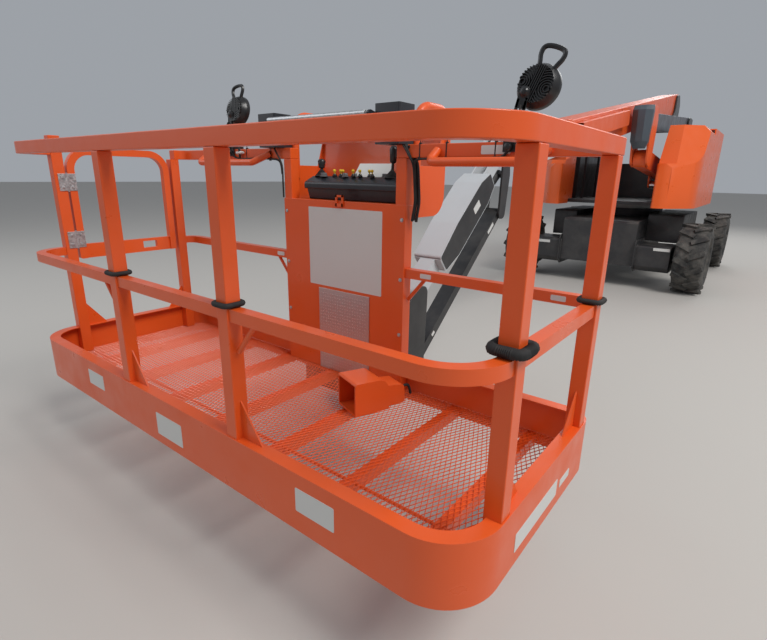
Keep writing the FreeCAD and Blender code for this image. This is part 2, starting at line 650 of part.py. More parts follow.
def boom_base():
    """The outer boom section, with its pin boss and the collar at its mouth."""
    tube = boom_box(-60, BASE_END, BOOM_W, BOOM_H, 8)
    collar = boom_box(BASE_END - 90, BASE_END, BOOM_W + 24, BOOM_H + 24, 0)
    collar = collar.cut(boom_box(BASE_END - 100, BASE_END + 10, BOOM_W - 16, BOOM_H - 16, 0))
    pin = boom_point(0, 0)
    head = boss(pin, 110, BOOM_X - BOOM_W / 2, BOOM_X + BOOM_W / 2)
    lugs = ram_lugs("boom", pin, boom_point(BASE_END, 0), BOOM_H / 2)
    pads = pad_ring(BASE_END - 130, BASE_END - 10, FLY_W + 0.6, FLY_H + 0.6, BOOM_W - 10, BOOM_H - 10)
    solid = fused([tube, collar, head, pads] + lugs)
    return solid.cut(boss(pin, PIN_R + 8.3, BOOM_X - BOOM_W, BOOM_X + BOOM_W))


def boom_fly():
    """The inner section and the fork at its nose."""
    tube = boom_box(BASE_END - 1900, NOSE_DIST - FORK, FLY_W, FLY_H, 8)
    cheeks = []
    for side in (-1, 1):
        x0 = BOOM_X + side * (FLY_W / 2 - 18)
        x0, x1 = sorted((x0, x0 + side * 18))
        corners = [boom_point(NOSE_DIST - FORK - 90, -FLY_H / 2) + (0,),
                   boom_point(NOSE_DIST - FORK + 60, -FLY_H / 2) + (40,),
                   boom_point(NOSE_DIST - 10, NOSE_UP - 66) + (50,), boom_point(NOSE_DIST + 66, NOSE_UP - 20) + (50,),
                   boom_point(NOSE_DIST + 50, NOSE_UP + 66) + (50,), boom_point(NOSE_DIST - 60, NOSE_UP + 66) + (50,),
                   boom_point(NOSE_DIST - 180, FLY_H / 2) + (30,), boom_point(NOSE_DIST - FORK - 90, FLY_H / 2) + (0,)]
        cheeks.append(side_plate(corners, x0, x1))
    pin = boss(NOSE_PIN, PIN_R, BOOM_X - FLY_W / 2, BOOM_X + FLY_W / 2)
    cap = beam(boom_point(NOSE_DIST - FORK - 40, FLY_H / 2 - 4), boom_point(NOSE_DIST - 190, FLY_H / 2 - 4),
               FLY_W, 8, 0, BOOM_X)
    rear = BASE_END - 1900
    pads = pad_ring(rear, rear + 120, FLY_W - 10, FLY_H - 10, BOOM_W - 16.6, BOOM_H - 16.6)
    return fused([tube, cap, pads] + cheeks + [pin])


def hose_tray():
    """The tray along the boom's right side, with the folded end of the hose chain."""
    side = BOOM_X + BOOM_W / 2
    width, height, wall = TRAY_SIZE
    x = side + TRAY_GAP + width / 2
    tray = beam(boom_point(TRAY_RUN[0], 40), boom_point(TRAY_RUN[1], 40), width, height, wall, x)
    feet = [beam(boom_point(s, 30), boom_point(s + 60, 30), TRAY_GAP - SEAT + 1, 100, 0,
                 side + (TRAY_GAP + SEAT + 1) / 2) for s in (TRAY_RUN[0] + 200, TRAY_RUN[1] - 350)]
    return fused([tray] + feet)


# Jib and the platform's support

def jib_base():
    """The levelled casting at the boom's nose that carries the jib and the parallel link."""
    half = FLY_W / 2 - 18 - RUN_GAP
    ram = CYLINDERS["jib"]["barrel_pin"]
    corners = [(NOSE_PIN[0] + 50, NOSE_PIN[1] + 46, 46), (NOSE_PIN[0] + 50, NOSE_PIN[1] - 80, 40),
               (ram[0] + 70, ram[1], 60), (LINK_TOP_PIN[0] + 45, LINK_TOP_PIN[1] - 45, 40),
               (LINK_TOP_PIN[0] - 45, LINK_TOP_PIN[1] - 45, 40), (NOSE_PIN[0] - 50, NOSE_PIN[1] - 60, 40),
               (NOSE_PIN[0] - 50, NOSE_PIN[1] + 46, 46)]
    plates = []
    for side in (-1, 1):
        x0, x1 = sorted((BOOM_X + side * half, BOOM_X + side * (half - 14)))
        plates.append(side_plate(corners, x0, x1))
    web = boss(LINK_TOP_PIN, PIN_R - 3, BOOM_X - half, BOOM_X + half)
    ram_pin = boss(ram, PIN_R, BOOM_X - half, BOOM_X + half)
    solid = fused(plates + [web, ram_pin])
    return solid.cut(boss(NOSE_PIN, PIN_R + 0.3, BOOM_X - FLY_W, BOOM_X + FLY_W))


JIB_INNER = FLY_W / 2 - 18 - RUN_GAP - 14 - RUN_GAP    # half width of the jib's upper eye


def jib_point(along, up):
    """A (y, z) place on the jib: along it from its top pin, and above its centre line."""
    a = math.radians(JIB_SLOPE)
    y, z = JIB_TOP_PIN
    return (y - along * math.cos(a) - up * math.sin(a), z - along * math.sin(a) + up * math.cos(a))


JIB_LEN = math.hypot(JIB_RUN, JIB_DROP)
JIB_FORK_T = 12           # cheeks of the fork at the jib's top, and the stubs that hold its cylinder
JIB_STUB_IN = 28
JIB_STUB_R = 26


def jib_arm():
    """The jib: a channel open below, where the cylinder lies, with a fork at its top and an eye at its foot."""
    half, start, end, wall = JIB_H / 2, 330, JIB_LEN - 230, 6
    corners = [jib_point(start, -half * 0.6) + (20,), jib_point(start + 130, -half) + (40,),
               jib_point(end - 170, -half) + (40,), jib_point(end, -half * 0.6) + (20,),
               jib_point(end, half * 0.7) + (20,), jib_point(end - 260, half) + (60,),
               jib_point(start + 130, half) + (40,), jib_point(start, half * 0.6) + (20,)]
    outer = side_plate(corners, BOOM_X - JIB_W / 2, BOOM_X + JIB_W / 2)
    inner = [jib_point(start - 60, -half - 60) + (0,), jib_point(end + 60, -half - 60) + (0,),
             jib_point(end + 60, half * 0.7 - wall - 10) + (0,), jib_point(end - 260, half - wall) + (60,),
             jib_point(start + 130, half - wall) + (40,), jib_point(start - 60, half * 0.6 - wall - 16) + (0,)]
    channel = outer.cut(side_plate(inner, BOOM_X - JIB_W / 2 + wall, BOOM_X + JIB_W / 2 - wall))
    parts = [channel]
    for side in (-1, 1):
        x0, x1 = sorted((BOOM_X + side * JIB_INNER, BOOM_X + side * (JIB_INNER - JIB_FORK_T)))
        parts.append(side_plate([jib_point(-48, -48) + (48,), jib_point(start + 170, -48) + (20,),
                                 jib_point(start + 170, half - wall / 2) + (0,),
                                 jib_point(start + 130, half - wall / 2) + (0,), jib_point(start, 48) + (60,),
                                 jib_point(-48, 48) + (48,)], x0, x1))
        x0, x1 = sorted((BOOM_X + side * (JIB_INNER - 2), BOOM_X + side * (JIB_W / 2 - 2)))
        parts.append(side_plate([jib_point(start + 120, -48) + (0,), jib_point(start + 132, -48) + (0,),
                                 jib_point(start + 132, half - wall / 2) + (0,),
                                 jib_point(start + 120, half - wall - 4) + (0,)], x0, x1))
        stub = sorted((BOOM_X + side * JIB_STUB_IN, BOOM_X + side * (JIB_W / 2 - 2)))
        parts.append(boss(CYLINDERS["jib"]["rod_pin"], JIB_STUB_R, *stub))
    parts += [beam(jib_point(end - 60, 0), jib_point(JIB_LEN, 0), 2 * JIB_INNER, 96, 0, BOOM_X),
              boss(JIB_LOW_PIN, 48, BOOM_X - JIB_INNER, BOOM_X + JIB_INNER),
              beam(jib_point(end - 60, 0), jib_point(end + 4, 0), JIB_W - 4, 96, 0, BOOM_X)]
    solid = fused(parts)
    for pin in (JIB_TOP_PIN, JIB_LOW_PIN):
        solid = solid.cut(boss(pin, PIN_R + 0.3, BOOM_X - FLY_W, BOOM_X + FLY_W))
    return solid


def jib_link():
    """The parallel link under the jib."""
    solid = fused([beam(LINK_TOP_PIN, LINK_LOW_PIN, 2 * JIB_INNER, LINK_W, 5, BOOM_X),
                   boss(LINK_TOP_PIN, LINK_W / 2, BOOM_X - JIB_INNER, BOOM_X + JIB_INNER),
                   boss(LINK_LOW_PIN, LINK_W / 2, BOOM_X - JIB_INNER, BOOM_X + JIB_INNER)])
    for pin in (LINK_TOP_PIN, LINK_LOW_PIN):
        solid = solid.cut(boss(pin, PIN_R - 2.7, BOOM_X - FLY_W, BOOM_X + FLY_W))
    return solid


def platform_support():
    """The bracket at the jib's foot, with the rotator's column in front."""
    half = JIB_INNER + RUN_GAP
    y, z = JIB_LOW_PIN
    low = LINK_LOW_PIN
    clear = ROTATOR_Y + EAR_R + 15
    corners = [(y + 50, z + 46, 46), (y + 50, z - 60, 40), (low[0] + 50, low[1] - 46, 46),
               (low[0] - 50, low[1] - 46, 40), (clear, low[1] + 20, 20), (clear, ROTATOR_Z[0], 0),
               (ROTATOR_Y + 40, ROTATOR_Z[0], 0), (ROTATOR_Y + 40, ROTATOR_Z[1], 0), (clear, ROTATOR_Z[1], 0),
               (y - 60, z + 46, 40)]
    plates = []
    for side in (-1, 1):
        x0, x1 = sorted((BOOM_X + side * half, BOOM_X + side * (half + 14)))
        plates.append(side_plate(corners, x0, x1))
    column = rod(V(BOOM_X, ROTATOR_Y, ROTATOR_Z[0]), V(BOOM_X, ROTATOR_Y, ROTATOR_Z[1]), ROTATOR_R)
    shaft = rod(V(BOOM_X, ROTATOR_Y, ROTATOR_Z[0] - 40), V(BOOM_X, ROTATOR_Y, ROTATOR_Z[1] + 40), SHAFT_R)
    pins = [boss(JIB_LOW_PIN, PIN_R, BOOM_X - half - 14, BOOM_X + half + 14),
            boss(LINK_LOW_PIN, PIN_R - 3, BOOM_X - half - 14, BOOM_X + half + 14)]
    return fused(plates + [column, shaft] + pins)


# Cylinders

def arm_point(start, towards, along, up):
    """A (y, z) place on an arm that leads forward from its pin: along it, and above its centre line."""
    run, rise = start[0] - towards[0], towards[1] - start[1]
    length = math.hypot(run, rise)
    return (start[0] + (up * rise - along * run) / length, start[1] + (along * rise + up * run) / length)


CYLINDERS = {
    "riser": {"barrel_pin": at(600, 1165), "rod_pin": arm_point(at(*RISER_FOOT), at(*RISER_KNEE_LOW), 1400, -205),
              "x": RISER_X, "barrel_r": 60, "rod_r": 32, "mouth": 1040, "piston": 120},
    "boom": {"barrel_pin": at(775, 2185), "rod_pin": boom_point(1500, -285),
             "x": BOOM_X, "barrel_r": 62, "rod_r": 34, "mouth": 1090, "piston": 130},
    "jib": {"barrel_pin": (NOSE_PIN[0], NOSE_PIN[1] - 180), "rod_pin": jib_point(800, -60),
            "x": BOOM_X, "barrel_r": 33, "rod_r": 20, "mouth": 530, "piston": 120},
}
PISTON_L = 30
EYE_GAP = 5               # between a rod's eye and the lugs beside it
LUG_T = 16


def eye_half(name):
    """Half the width of a cylinder rod's eye."""
    return CYLINDERS[name]["rod_r"] * 1.15


def ram_lugs(name, start, towards, half_height):
    """Two lugs under an arm beside a cylinder rod's eye. No pin joins them: the linkage is open there."""
    x, (pin_y, pin_z) = CYLINDERS[name]["x"], CYLINDERS[name]["rod_pin"]
    run, rise = start[0] - towards[0], towards[1] - start[1]
    length = math.hypot(run, rise)
    along = ((start[0] - pin_y) * run + (pin_z - start[1]) * rise) / length
    up = ((pin_z - start[1]) * run - (start[0] - pin_y) * rise) / length
    corners = [arm_point(start, towards, along - 115, 3 - half_height) + (0,),
               arm_point(start, towards, along - 48, up - 42) + (38,),
               arm_point(start, towards, along + 48, up - 42) + (38,),
               arm_point(start, towards, along + 115, 3 - half_height) + (0,)]
    lugs = []
    for side in (-1, 1):
        near, far = eye_half(name) + EYE_GAP, eye_half(name) + EYE_GAP + LUG_T
        lugs.append(side_plate(corners, *sorted((x + side * near, x + side * far))))
        lugs.append(boss((pin_y, pin_z), PIN_R, *sorted((x + side * (far - 2), x + side * (far + 10)))))
    return lugs


def cylinder_barrel(name):
    row = CYLINDERS[name]
    x, r, rod_r, mouth = row["x"], row["barrel_r"], row["rod_r"], row["mouth"]
    foot = V(x, *row["barrel_pin"])
    along = (V(x, *row["rod_pin"]) - foot).normalize()
    tube = rod(foot + along * (r * 0.7), foot + along * mouth, r)
    hollow = rod(foot + along * (r * 1.4), foot + along * (mouth - 30), rod_r + 5)
    gland = rod(foot + along * (mouth - 40), foot + along * (mouth + 1), rod_r + 1)
    eye = boss(row["barrel_pin"], r * 0.9, x - r * 0.6, x + r * 0.6)
    return fused([tube, eye]).cut([hollow, gland, boss(row["barrel_pin"], PIN_R + 0.3, x - 3 * r, x + 3 * r)])


def cylinder_rod(name):
    """The rod, its piston, and its eye with the pin's ends just proud of it."""
    row = CYLINDERS[name]
    x, rod_r, piston = row["x"], row["rod_r"], row["piston"]
    foot, head = V(x, *row["barrel_pin"]), V(x, *row["rod_pin"])
    along = (head - foot).normalize()
    stem = rod(foot + along * piston, head, rod_r)
    ring = rod(foot + along * piston, foot + along * (piston + PISTON_L), rod_r + 4)
    half = eye_half(name)
    eye = boss(row["rod_pin"], rod_r * 1.5, x - half, x + half)
    pin = boss(row["rod_pin"], rod_r * 0.7, x - half - 2, x + half + 2)
    return fused([stem, ring, eye, pin])


# Platform

def deck_outline(inset):
    """The tray's plan, drawn in by inset."""
    x0, x1 = BOOM_X - DECK_L / 2 + inset, BOOM_X + DECK_L / 2 - inset
    y0, y1 = FRONT_Y + inset, REAR_Y - inset
    rf, rr = max(CORNER_FRONT - inset, 5), max(CORNER_REAR - inset, 5)
    return [(x0, y0, rf), (x1, y0, rf), (x1, y1, rr), (x0, y1, rr)]


def tray():
    """The toe board round the platform, with an inward flange on top that is notched for the posts."""
    z = PLATFORM_Z
    wall = floor_plate(deck_outline(0), z, z + TOE_H).cut(floor_plate(deck_outline(TOE_T), z - 1, z + TOE_H + 1))
    lip = floor_plate(deck_outline(0), z + TOE_H - TOE_T, z + TOE_H)
    lip = lip.cut(floor_plate(deck_outline(FLANGE), z, z + TOE_H + 1))
    notches = [post_block(name, SEAT) for name in POSTS] + [console_notch()]
    return wall.fuse(lip.cut(notches)).removeSplitter()


def platform_floor():
    """The floor's cross members and, as one thin sheet on them, its open steel mesh."""
    z = PLATFORM_Z
    parts = [floor_plate(deck_outline(TOE_T + SEAT), z + FLOOR_UP - TOE_T, z + FLOOR_UP)]
    first, last = BOOM_X - DECK_L / 2 + MEMBER_IN, BOOM_X + DECK_L / 2 - MEMBER_IN
    for i in range(MEMBERS):
        x = first + i * (last - first) / (MEMBERS - 1)
        parts.append(block(x - MEMBER_W / 2, x + MEMBER_W / 2, FRONT_Y + TOE_T + SEAT, REAR_Y - TOE_T - SEAT,
                           z, z + FLOOR_UP - TOE_T + 1))
    return fused(parts)


POST_IN = TOE_T + SEAT + POST / 2      # a post's middle from the platform's outer edge
POSTS = {
    # name: x from the platform's middle, y from its front, top above the underside
    "hinge": (-DECK_L / 2 + POST_IN, 195, RAIL_TOP + 40),
    "front_left": (-300, POST_IN, RAIL_TOP - RAIL),
    "front_right": (385, POST_IN, RAIL_TOP - RAIL),
    "right_front": (DECK_L / 2 - POST_IN, CORNER_FRONT + POST / 2, RAIL_TOP - RAIL),
    "right_rear": (DECK_L / 2 - POST_IN, DECK_D - CORNER_REAR - POST / 2, RAIL_TOP - RAIL),
    "latch": (-DECK_L / 2 + POST_IN, DECK_D - CORNER_REAR - POST / 2, RAIL_TOP - RAIL),
    "console_left": (CONSOLE[0] + POST / 2, DECK_D - POST_IN, RAIL_TOP - RAIL),
    "console_right": (CONSOLE[1] - POST / 2, DECK_D - POST_IN, RAIL_TOP - RAIL),
}


def post_block(name, grow=0.0):
    """A post, from the floor to the top rail; grow widens it, to cut its notch or a rail's end."""
    x, y, top = POSTS[name]
    px, py, half = BOOM_X + x, FRONT_Y + y, POST / 2 + grow
    return block(px - half, px + half, py - half, py + half, PLATFORM_Z + FLOOR_UP + SEAT, PLATFORM_Z + top)


def posts():
    return Part.makeCompound([post_block(name) for name in POSTS])


def gate_gap():
    """The left end between the gate's posts, which the rails leave open."""
    left = BOOM_X - DECK_L / 2
    return block(left - POST, left + 3 * POST, FRONT_Y + POSTS["hinge"][1], FRONT_Y + POSTS["latch"][1],
                 PLATFORM_Z, PLATFORM_Z + 2 * RAIL_TOP)


def console_gap(inset):
    """The stretch of the rear side between the console's posts, which the rails leave open."""
    return block(BOOM_X + CONSOLE[0] + inset, BOOM_X + CONSOLE[1] - inset, REAR_Y - 4 * POST, REAR_Y + POST,
                 PLATFORM_Z, PLATFORM_Z + 2 * RAIL_TOP)


def console_notch():
    """Where the console's panel passes down inside the toe board's flange."""
    return block(BOOM_X + CONSOLE[0] - SEAT, BOOM_X + CONSOLE[1] + SEAT, REAR_Y - 2 * POST, REAR_Y - TOE_T,
                 PLATFORM_Z, PLATFORM_Z + TOE_H + 1)


def edge_tube(inset, width, top, height):
    """A square tube that follows the platform's edge all the way round."""
    ring = floor_plate(deck_outline(inset), top - height, top)
    return ring.cut(floor_plate(deck_outline(inset + width), top - height - 1, top + 1))


def top_rail():
    """The top rail on the posts, open at the gate and at the console."""
    z = PLATFORM_Z
    above = [post_block("hinge", SEAT)]
    ring = edge_tube(POST_IN - RAIL / 2, RAIL, z + RAIL_TOP, RAIL - SEAT)
    return ring.cut([gate_gap(), console_gap(POST - SEAT)] + above)


BRACES = {
    # post: the way from it (x, y) in which its brace runs
    "front_left": (-1, 0),
    "front_right": (1, 0),
    "console_left": (-1, 0),
    "console_right": (1, 0),
}


def mid_rails():
    """The mid rail's lengths between the posts, with a small brace under each end that has one."""
    z = PLATFORM_Z
    ring = edge_tube(POST_IN - MID / 2, MID, z + MID_TOP, MID)
    cuts = [gate_gap(), console_gap(-PANEL_T - 2 * SEAT)] + [post_block(name, SEAT) for name in POSTS]
    lengths = ring.cut(cuts).Solids
    rods = []
    for name, (dx, dy) in BRACES.items():
        x, y = POSTS[name][:2]
        reach = POST / 2 + PANEL_T + 2 * SEAT
        px, py = BOOM_X + x + dx * reach, FRONT_Y + y + dy * reach
        foot = V(px + dx * BRACE_R, py + dy * BRACE_R, z + MID_TOP - MID - BRACE)
        rods.append(rod(foot, foot + V(dx * BRACE, dy * BRACE, BRACE + MID / 2), BRACE_R))
    joined = []
    for length in lengths:
        own = [r for r in rods if r.distToShape(length)[0] < 1e-6]
        joined.append(fused([length] + own))
    return Part.makeCompound(joined)


def bent_tube(points, radius, bend):
    """A round tube through points, with an arc of radius bend at each inner one."""
    edges, last = [], points[0]
    for before, here, after in zip(points, points[1:], points[2:]):
        a, b = (before - here).normalize(), (after - here).normalize()
        half = math.acos(max(-1, min(1, a.dot(b)))) / 2
        run = bend / math.tan(half)
        start, end = here + a * run, here + b * run
        middle = here + (a + b).normalize() * (bend / math.sin(half) - bend)
        edges += [Part.LineSegment(last, start).toShape(), Part.Arc(start, middle, end).toShape()]
        last = end
    edges.append(Part.LineSegment(last, points[-1]).toShape())
    path = Part.Wire(edges)
    ring = Part.Wire(Part.makeCircle(radius, points[0], points[1] - points[0]))
    return path.makePipeShell([ring], True, False)


HAND_GUARDS = {
    # name: x of the ends from the platform's middle
    "left": (-918, -395),
    "right": (560, 985),
}


def hand_guards():
    """The two bent tubes that keep a hand clear of the rear top rail."""
    rail_face = REAR_Y - POST_IN - RAIL / 2
    z = PLATFORM_Z + RAIL_TOP - RAIL / 2
    behind = block(BOOM_X - DECK_L, BOOM_X + DECK_L, rail_face - SEAT, REAR_Y, z - RAIL, z + RAIL)
    tubes = []
    for x0, x1 in HAND_GUARDS.values():
        a, b = BOOM_X + x0, BOOM_X + x1
        tube = bent_tube([V(a, rail_face, z), V(a, rail_face - GUARD_OUT, z - GUARD_DROP),
                          V(b - GUARD_RAMP, rail_face - GUARD_OUT, z - GUARD_DROP), V(b, rail_face, z)],
                         GUARD_R, GUARD_BEND)
        tubes.append(tube.cut(behind))
    return Part.makeCompound(tubes)


SLEEVES = {
    # post: how far its sleeve stands out, the sleeve's height
    "front_left": (17, 20),
    "front_right": (17, 20),
    "right_front": (28, 31),
    "right_rear": (17, 20),
}


def post_rings():
    """The black sleeves round four of the posts, resting on the mid rail."""
    rings = []
    for name, (out, height) in SLEEVES.items():
        x, y = BOOM_X + POSTS[name][0], FRONT_Y + POSTS[name][1]
        half, low = POST / 2 + out, PLATFORM_Z + MID_TOP + SEAT
        ring = floor_plate([(x - half, y - half, out), (x + half, y - half, out), (x + half, y + half, out),
                            (x - half, y + half, out)], low, low + height)
        rings.append(ring.cut(post_block(name, SEAT)))
    return Part.makeCompound(rings)


def console():
    """The orange panel from the floor to the control box, its sides folded back over the posts."""
    z = PLATFORM_Z
    x0, x1 = BOOM_X + CONSOLE[0], BOOM_X + CONSOLE[1]
    face = REAR_Y - POST_IN - POST / 2 - SEAT
    panel = block(x0 - SEAT - PANEL_T, x1 + SEAT + PANEL_T, face - PANEL_T, face, z + FLOOR_UP + SEAT,
                  z + CONSOLE_TOP)
    folds = [block(x, x + PANEL_T, face - PANEL_T, REAR_Y - TOE_T - SEAT, z + TOE_H + SEAT, z + CONSOLE_TOP)
             for x in (x0 - SEAT - PANEL_T, x1 + SEAT)]
    shelf = block(x0 + POST + SEAT, x1 - POST - SEAT, face - PANEL_T, REAR_Y + SHELF_BACK, z + CONSOLE_TOP - PANEL_T,
                  z + CONSOLE_TOP)
    return fused([panel] + folds + [shelf])


def tread_plate():
    """The chequered kick plate at the panel's foot."""
    z = PLATFORM_Z
    face = REAR_Y - POST_IN - POST / 2 - SEAT - PANEL_T - SEAT
    return block(BOOM_X + TREAD[0], BOOM_X + TREAD[1], face - TREAD_T, face, z + FLOOR_UP + SEAT, z + TREAD_TOP)


def frame_x(side):
    """The plane of a console side frame, at its post's outer side."""
    post = POSTS["console_left" if side < 0 else "console_right"]
    return BOOM_X + post[0] + side * (POST / 2 - PANEL_T - 2)


def side_frames():
    """Behind each console post: a plate with a round lower corner, and a hoop over its top."""
    z = PLATFORM_Z
    y0, y1 = REAR_Y - TOE_T, REAR_Y + HOOP_BACK
    step_y, step_z = REAR_Y + HOOP_STEP[0], z + HOOP_STEP[1]
    front = REAR_Y + HOOP_R + SEAT
    frames = []
    for side in (-1, 1):
        x = frame_x(side)
        plate = side_plate([(y0, z + HOOP_LOW, 0), (y1, z + HOOP_LOW, 90), (y1, z + HOOP_HIGH, 0),
                            (y1 - 30, z + HOOP_HIGH, 0), (step_y, step_z, 0), (y0, step_z, 0)],
                           x - PANEL_T, x + PANEL_T)
        hoop = bent_tube([V(x, front, step_z - 60), V(x, front, z + HOOP_TOP),
                          V(x, y1, z + HOOP_TOP), V(x, y1, z + HOOP_HIGH - 60)], HOOP_R, 75)
        frames.append(fused([plate, hoop]))
    return Part.makeCompound(frames)


def console_back():
    """The sheet behind the control box, between the side frames, with a lip along its top."""
    z = PLATFORM_Z
    x0, x1 = (frame_x(side) - side * (PANEL_T + SEAT) for side in (-1, 1))
    y, low, high = REAR_Y + HOOP_BACK - HOOP_R, z + CONSOLE_TOP, z + HOOP_HIGH
    wall = side_plate([(y - 55, low, 0), (y - 55 - BACK_T, low, 0), (y - BACK_T, high - BACK_T, 0),
                       (y - 45, high - BACK_T, 0), (y - 45, high, 0), (y, high, 0)], x0, x1)
    return wall


def rotator_ears():
    """The two ears on the platform's back that hold the rotator's shaft, and their back plate."""
    parts = []
    for z0 in (ROTATOR_Z[0] - RUN_GAP - EAR_T, ROTATOR_Z[1] + RUN_GAP):
        neck = floor_plate([(BOOM_X - EAR_FOOT, REAR_Y + 2, 0), (BOOM_X + EAR_FOOT, REAR_Y + 2, 0),
                            (BOOM_X + EAR_R, ROTATOR_Y, 0), (BOOM_X - EAR_R, ROTATOR_Y, 0)], z0, z0 + EAR_T)
        parts += [neck, rod(V(BOOM_X, ROTATOR_Y, z0), V(BOOM_X, ROTATOR_Y, z0 + EAR_T), EAR_R)]
    plate = block(BOOM_X - 250, BOOM_X + 250, REAR_Y + SEAT, REAR_Y + 14, ROTATOR_Z[0] - 40, ROTATOR_Z[1] + 40)
    solid = fused(parts + [plate])
    return solid.cut(rod(V(BOOM_X, ROTATOR_Y, 0), V(BOOM_X, ROTATOR_Y, HOOD_TOP), SHAFT_R + SEAT))


def control_box():
    """The control box on the console's shelf: a deep base and a wider top, sloped to the operator."""
    z = PLATFORM_Z + CONSOLE_TOP + SEAT
    front, rear = REAR_Y - BOX_FRONT, REAR_Y + BOX_REAR
    low, high = z + 50, PLATFORM_Z + BOX_TOP
    base = side_plate([(front + 25, z, 10), (rear, z, 15), (rear, low, 0), (front + 10, low, 0)],
                      BOOM_X + BOX_X[0] + 8, BOOM_X + BOX_X[1] - 8)
    top = side_plate([(front, low - 2, 6), (rear, low - 2, 6), (rear, high, 12), (front + 60, high, 40),
                      (front, high - 28, 14)], BOOM_X + BOX_X[0], BOOM_X + BOX_X[1])
    return fused([base, top])


def sensor_boxes():
    """The two black boxes beside the console's posts, each with an arm that holds the trip bar's end."""
    z = PLATFORM_Z + RAIL_TOP + SEAT
    boxes = []
    for name, side in (("console_left", -1), ("console_right", 1)):
        x, y = POSTS[name][:2]
        px, py = BOOM_X + x + SENSOR_OFF[side], FRONT_Y + y + POST / 2
        box = block(px - SENSOR[0] / 2, px + SENSOR[0] / 2, py - SENSOR[1], py, z, z + SENSOR[2])
        box = box.makeFillet(8, [e for e in box.Edges if abs(e.tangentAt(e.FirstParameter).z) > 0.9])
        face = px - side * (SENSOR[0] / 2 - 1)
        arm = side_plate([(py - SENSOR[1] + 20, z + SENSOR[2] - 50, 12), (py - SENSOR[1] + 55, z + SENSOR[2] - 40, 8),
                          (BAR_Y + 14, z + BAR_UP + 14, 12), (BAR_Y - 14, z + BAR_UP - 12, 12)],
                         *sorted((face, face - side * ARM_T)))
        boxes.append(fused([box, arm]))
    return Part.makeCompound(boxes)


def trip_bar():
    """The round bar between the two sensor boxes' arms, in front of the operator."""
    z = PLATFORM_Z + RAIL_TOP + SEAT + BAR_UP
    ends = []
    for name, side in (("console_left", -1), ("console_right", 1)):
        face = BOOM_X + POSTS[name][0] + SENSOR_OFF[side] - side * (SENSOR[0] / 2 - 1)
        ends.append(V(face - side * (ARM_T + SEAT), BAR_Y, z))
    return rod(ends[0], ends[1], BAR_R)


def gate_hinge():
    """The (x, y) place of the gate's hinge line, on its inner face beside the front post."""
    return (BOOM_X - DECK_L / 2 + POST_IN + GATE_T / 2,
            FRONT_Y + POSTS["hinge"][1] + POST / 2 + GATE_GAP / 2)


def gate_hinges():
    """The two hinge barrels, held by the front gate post."""
    gx, gy = gate_hinge()
    z = PLATFORM_Z
    solids = []
    for low in HINGES_UP:
        barrel = rod(V(gx, gy, z + low), V(gx, gy, z + low + HINGE_L), GATE_HINGE_R)
        web = block(gx - 3, gx + 3, gy - GATE_GAP / 2 + SEAT, gy, z + low, z + low + HINGE_L)
        solids.append(fused([barrel, web]))
    return Part.makeCompound(solids)


def gate():
    """The swing gate at the left end: a bent tube with a flat bar, between the two gate posts."""
    z = PLATFORM_Z
    x = BOOM_X - DECK_L / 2 + POST_IN
    y0 = FRONT_Y + POSTS["hinge"][1] + POST / 2 + GATE_GAP
    y1 = FRONT_Y + POSTS["latch"][1] - POST / 2 - GATE_GAP
    low, high, bar = z + GATE_Z[0], z + GATE_Z[1], GATE_BAR
    outer = side_plate([(y0, low, 10), (y1, low, 10), (y1, high, 110), (y0, high, 110)],
                       x - GATE_T / 2, x + GATE_T / 2)
    inner = side_plate([(y0 + GATE_T, low + bar, 5), (y1 - GATE_T, low + bar, 5),
                        (y1 - GATE_T, high - GATE_T, 110 - GATE_T), (y0 + GATE_T, high - GATE_T, 110 - GATE_T)],
                       x - GATE_T, x + GATE_T)
    window = block(x - GATE_T, x + GATE_T, y1 - 190, y1 - 110, low + 20, low + bar - 14)
    thin = block(x + GATE_T / 2 - 12, x + GATE_T, y0 + GATE_T, y1 - GATE_T, low - 1, low + bar)
    return outer.cut([inner, window, thin])


LAMPS = {
    # name: x from the platform's middle, turn about Z, tip back, height of its middle
    "left": (-661, -62, 8, 1304),
    "right": (912, 28, 14, 1280),
}


def work_lamps():
    """Two round work lamps on the rear top rail: a finned body, a yoke, a clamp and a loop handle."""
    lamps = []
    for x, turn, tip, height in LAMPS.values():
        profile = [(0, -LAMP_DEEP, 0), (LAMP_R - 12, -LAMP_DEEP, 0), (LAMP_R, -LAMP_DEEP + 12, 0), (LAMP_R, 0, 0)]
        r = LAMP_R
        while r > LAMP_R * 0.3:
            profile += [(r - 6, 0, 0), (r - 6, -9, 0), (r - 12, -9, 0), (r - 12, 0, 0)]
            r -= 12
        profile += [(0, 0, 0)]
        wire = loop([(u, -v, c) for u, v, c in profile], lambda u, v: V(u, -v, 0))
        body = Part.Face(wire).revolve(V(0, 0, 0), Y, 360)
        handle = bent_tube([V(-42, -LAMP_DEEP / 2, LAMP_R - 10), V(-50, -LAMP_DEEP / 2, LAMP_R + 52),
                            V(50, -LAMP_DEEP / 2, LAMP_R + 52), V(42, -LAMP_DEEP / 2, LAMP_R - 10)], 8, 26)
        body = fused([body, handle])
        body.rotate(V(0, 0, 0), X, tip)
        drop = height - RAIL_TOP
        yoke = side_plate([(-18, -drop + SEAT, 0), (18, -drop + SEAT, 0), (14, -LAMP_R + 30, 8), (-40, -LAMP_R + 30, 8)],
                          -16, 16)
        clamp = block(-32, 32, -24, 24, -drop + SEAT, -drop + 34)
        lamp = fused([body, yoke, clamp])
        lamp.rotate(V(0, 0, 0), Z, turn)
        lamp.translate(V(BOOM_X + x, REAR_Y - POST_IN, PLATFORM_Z + height))
        lamps.append(lamp)
    return Part.makeCompound(lamps)


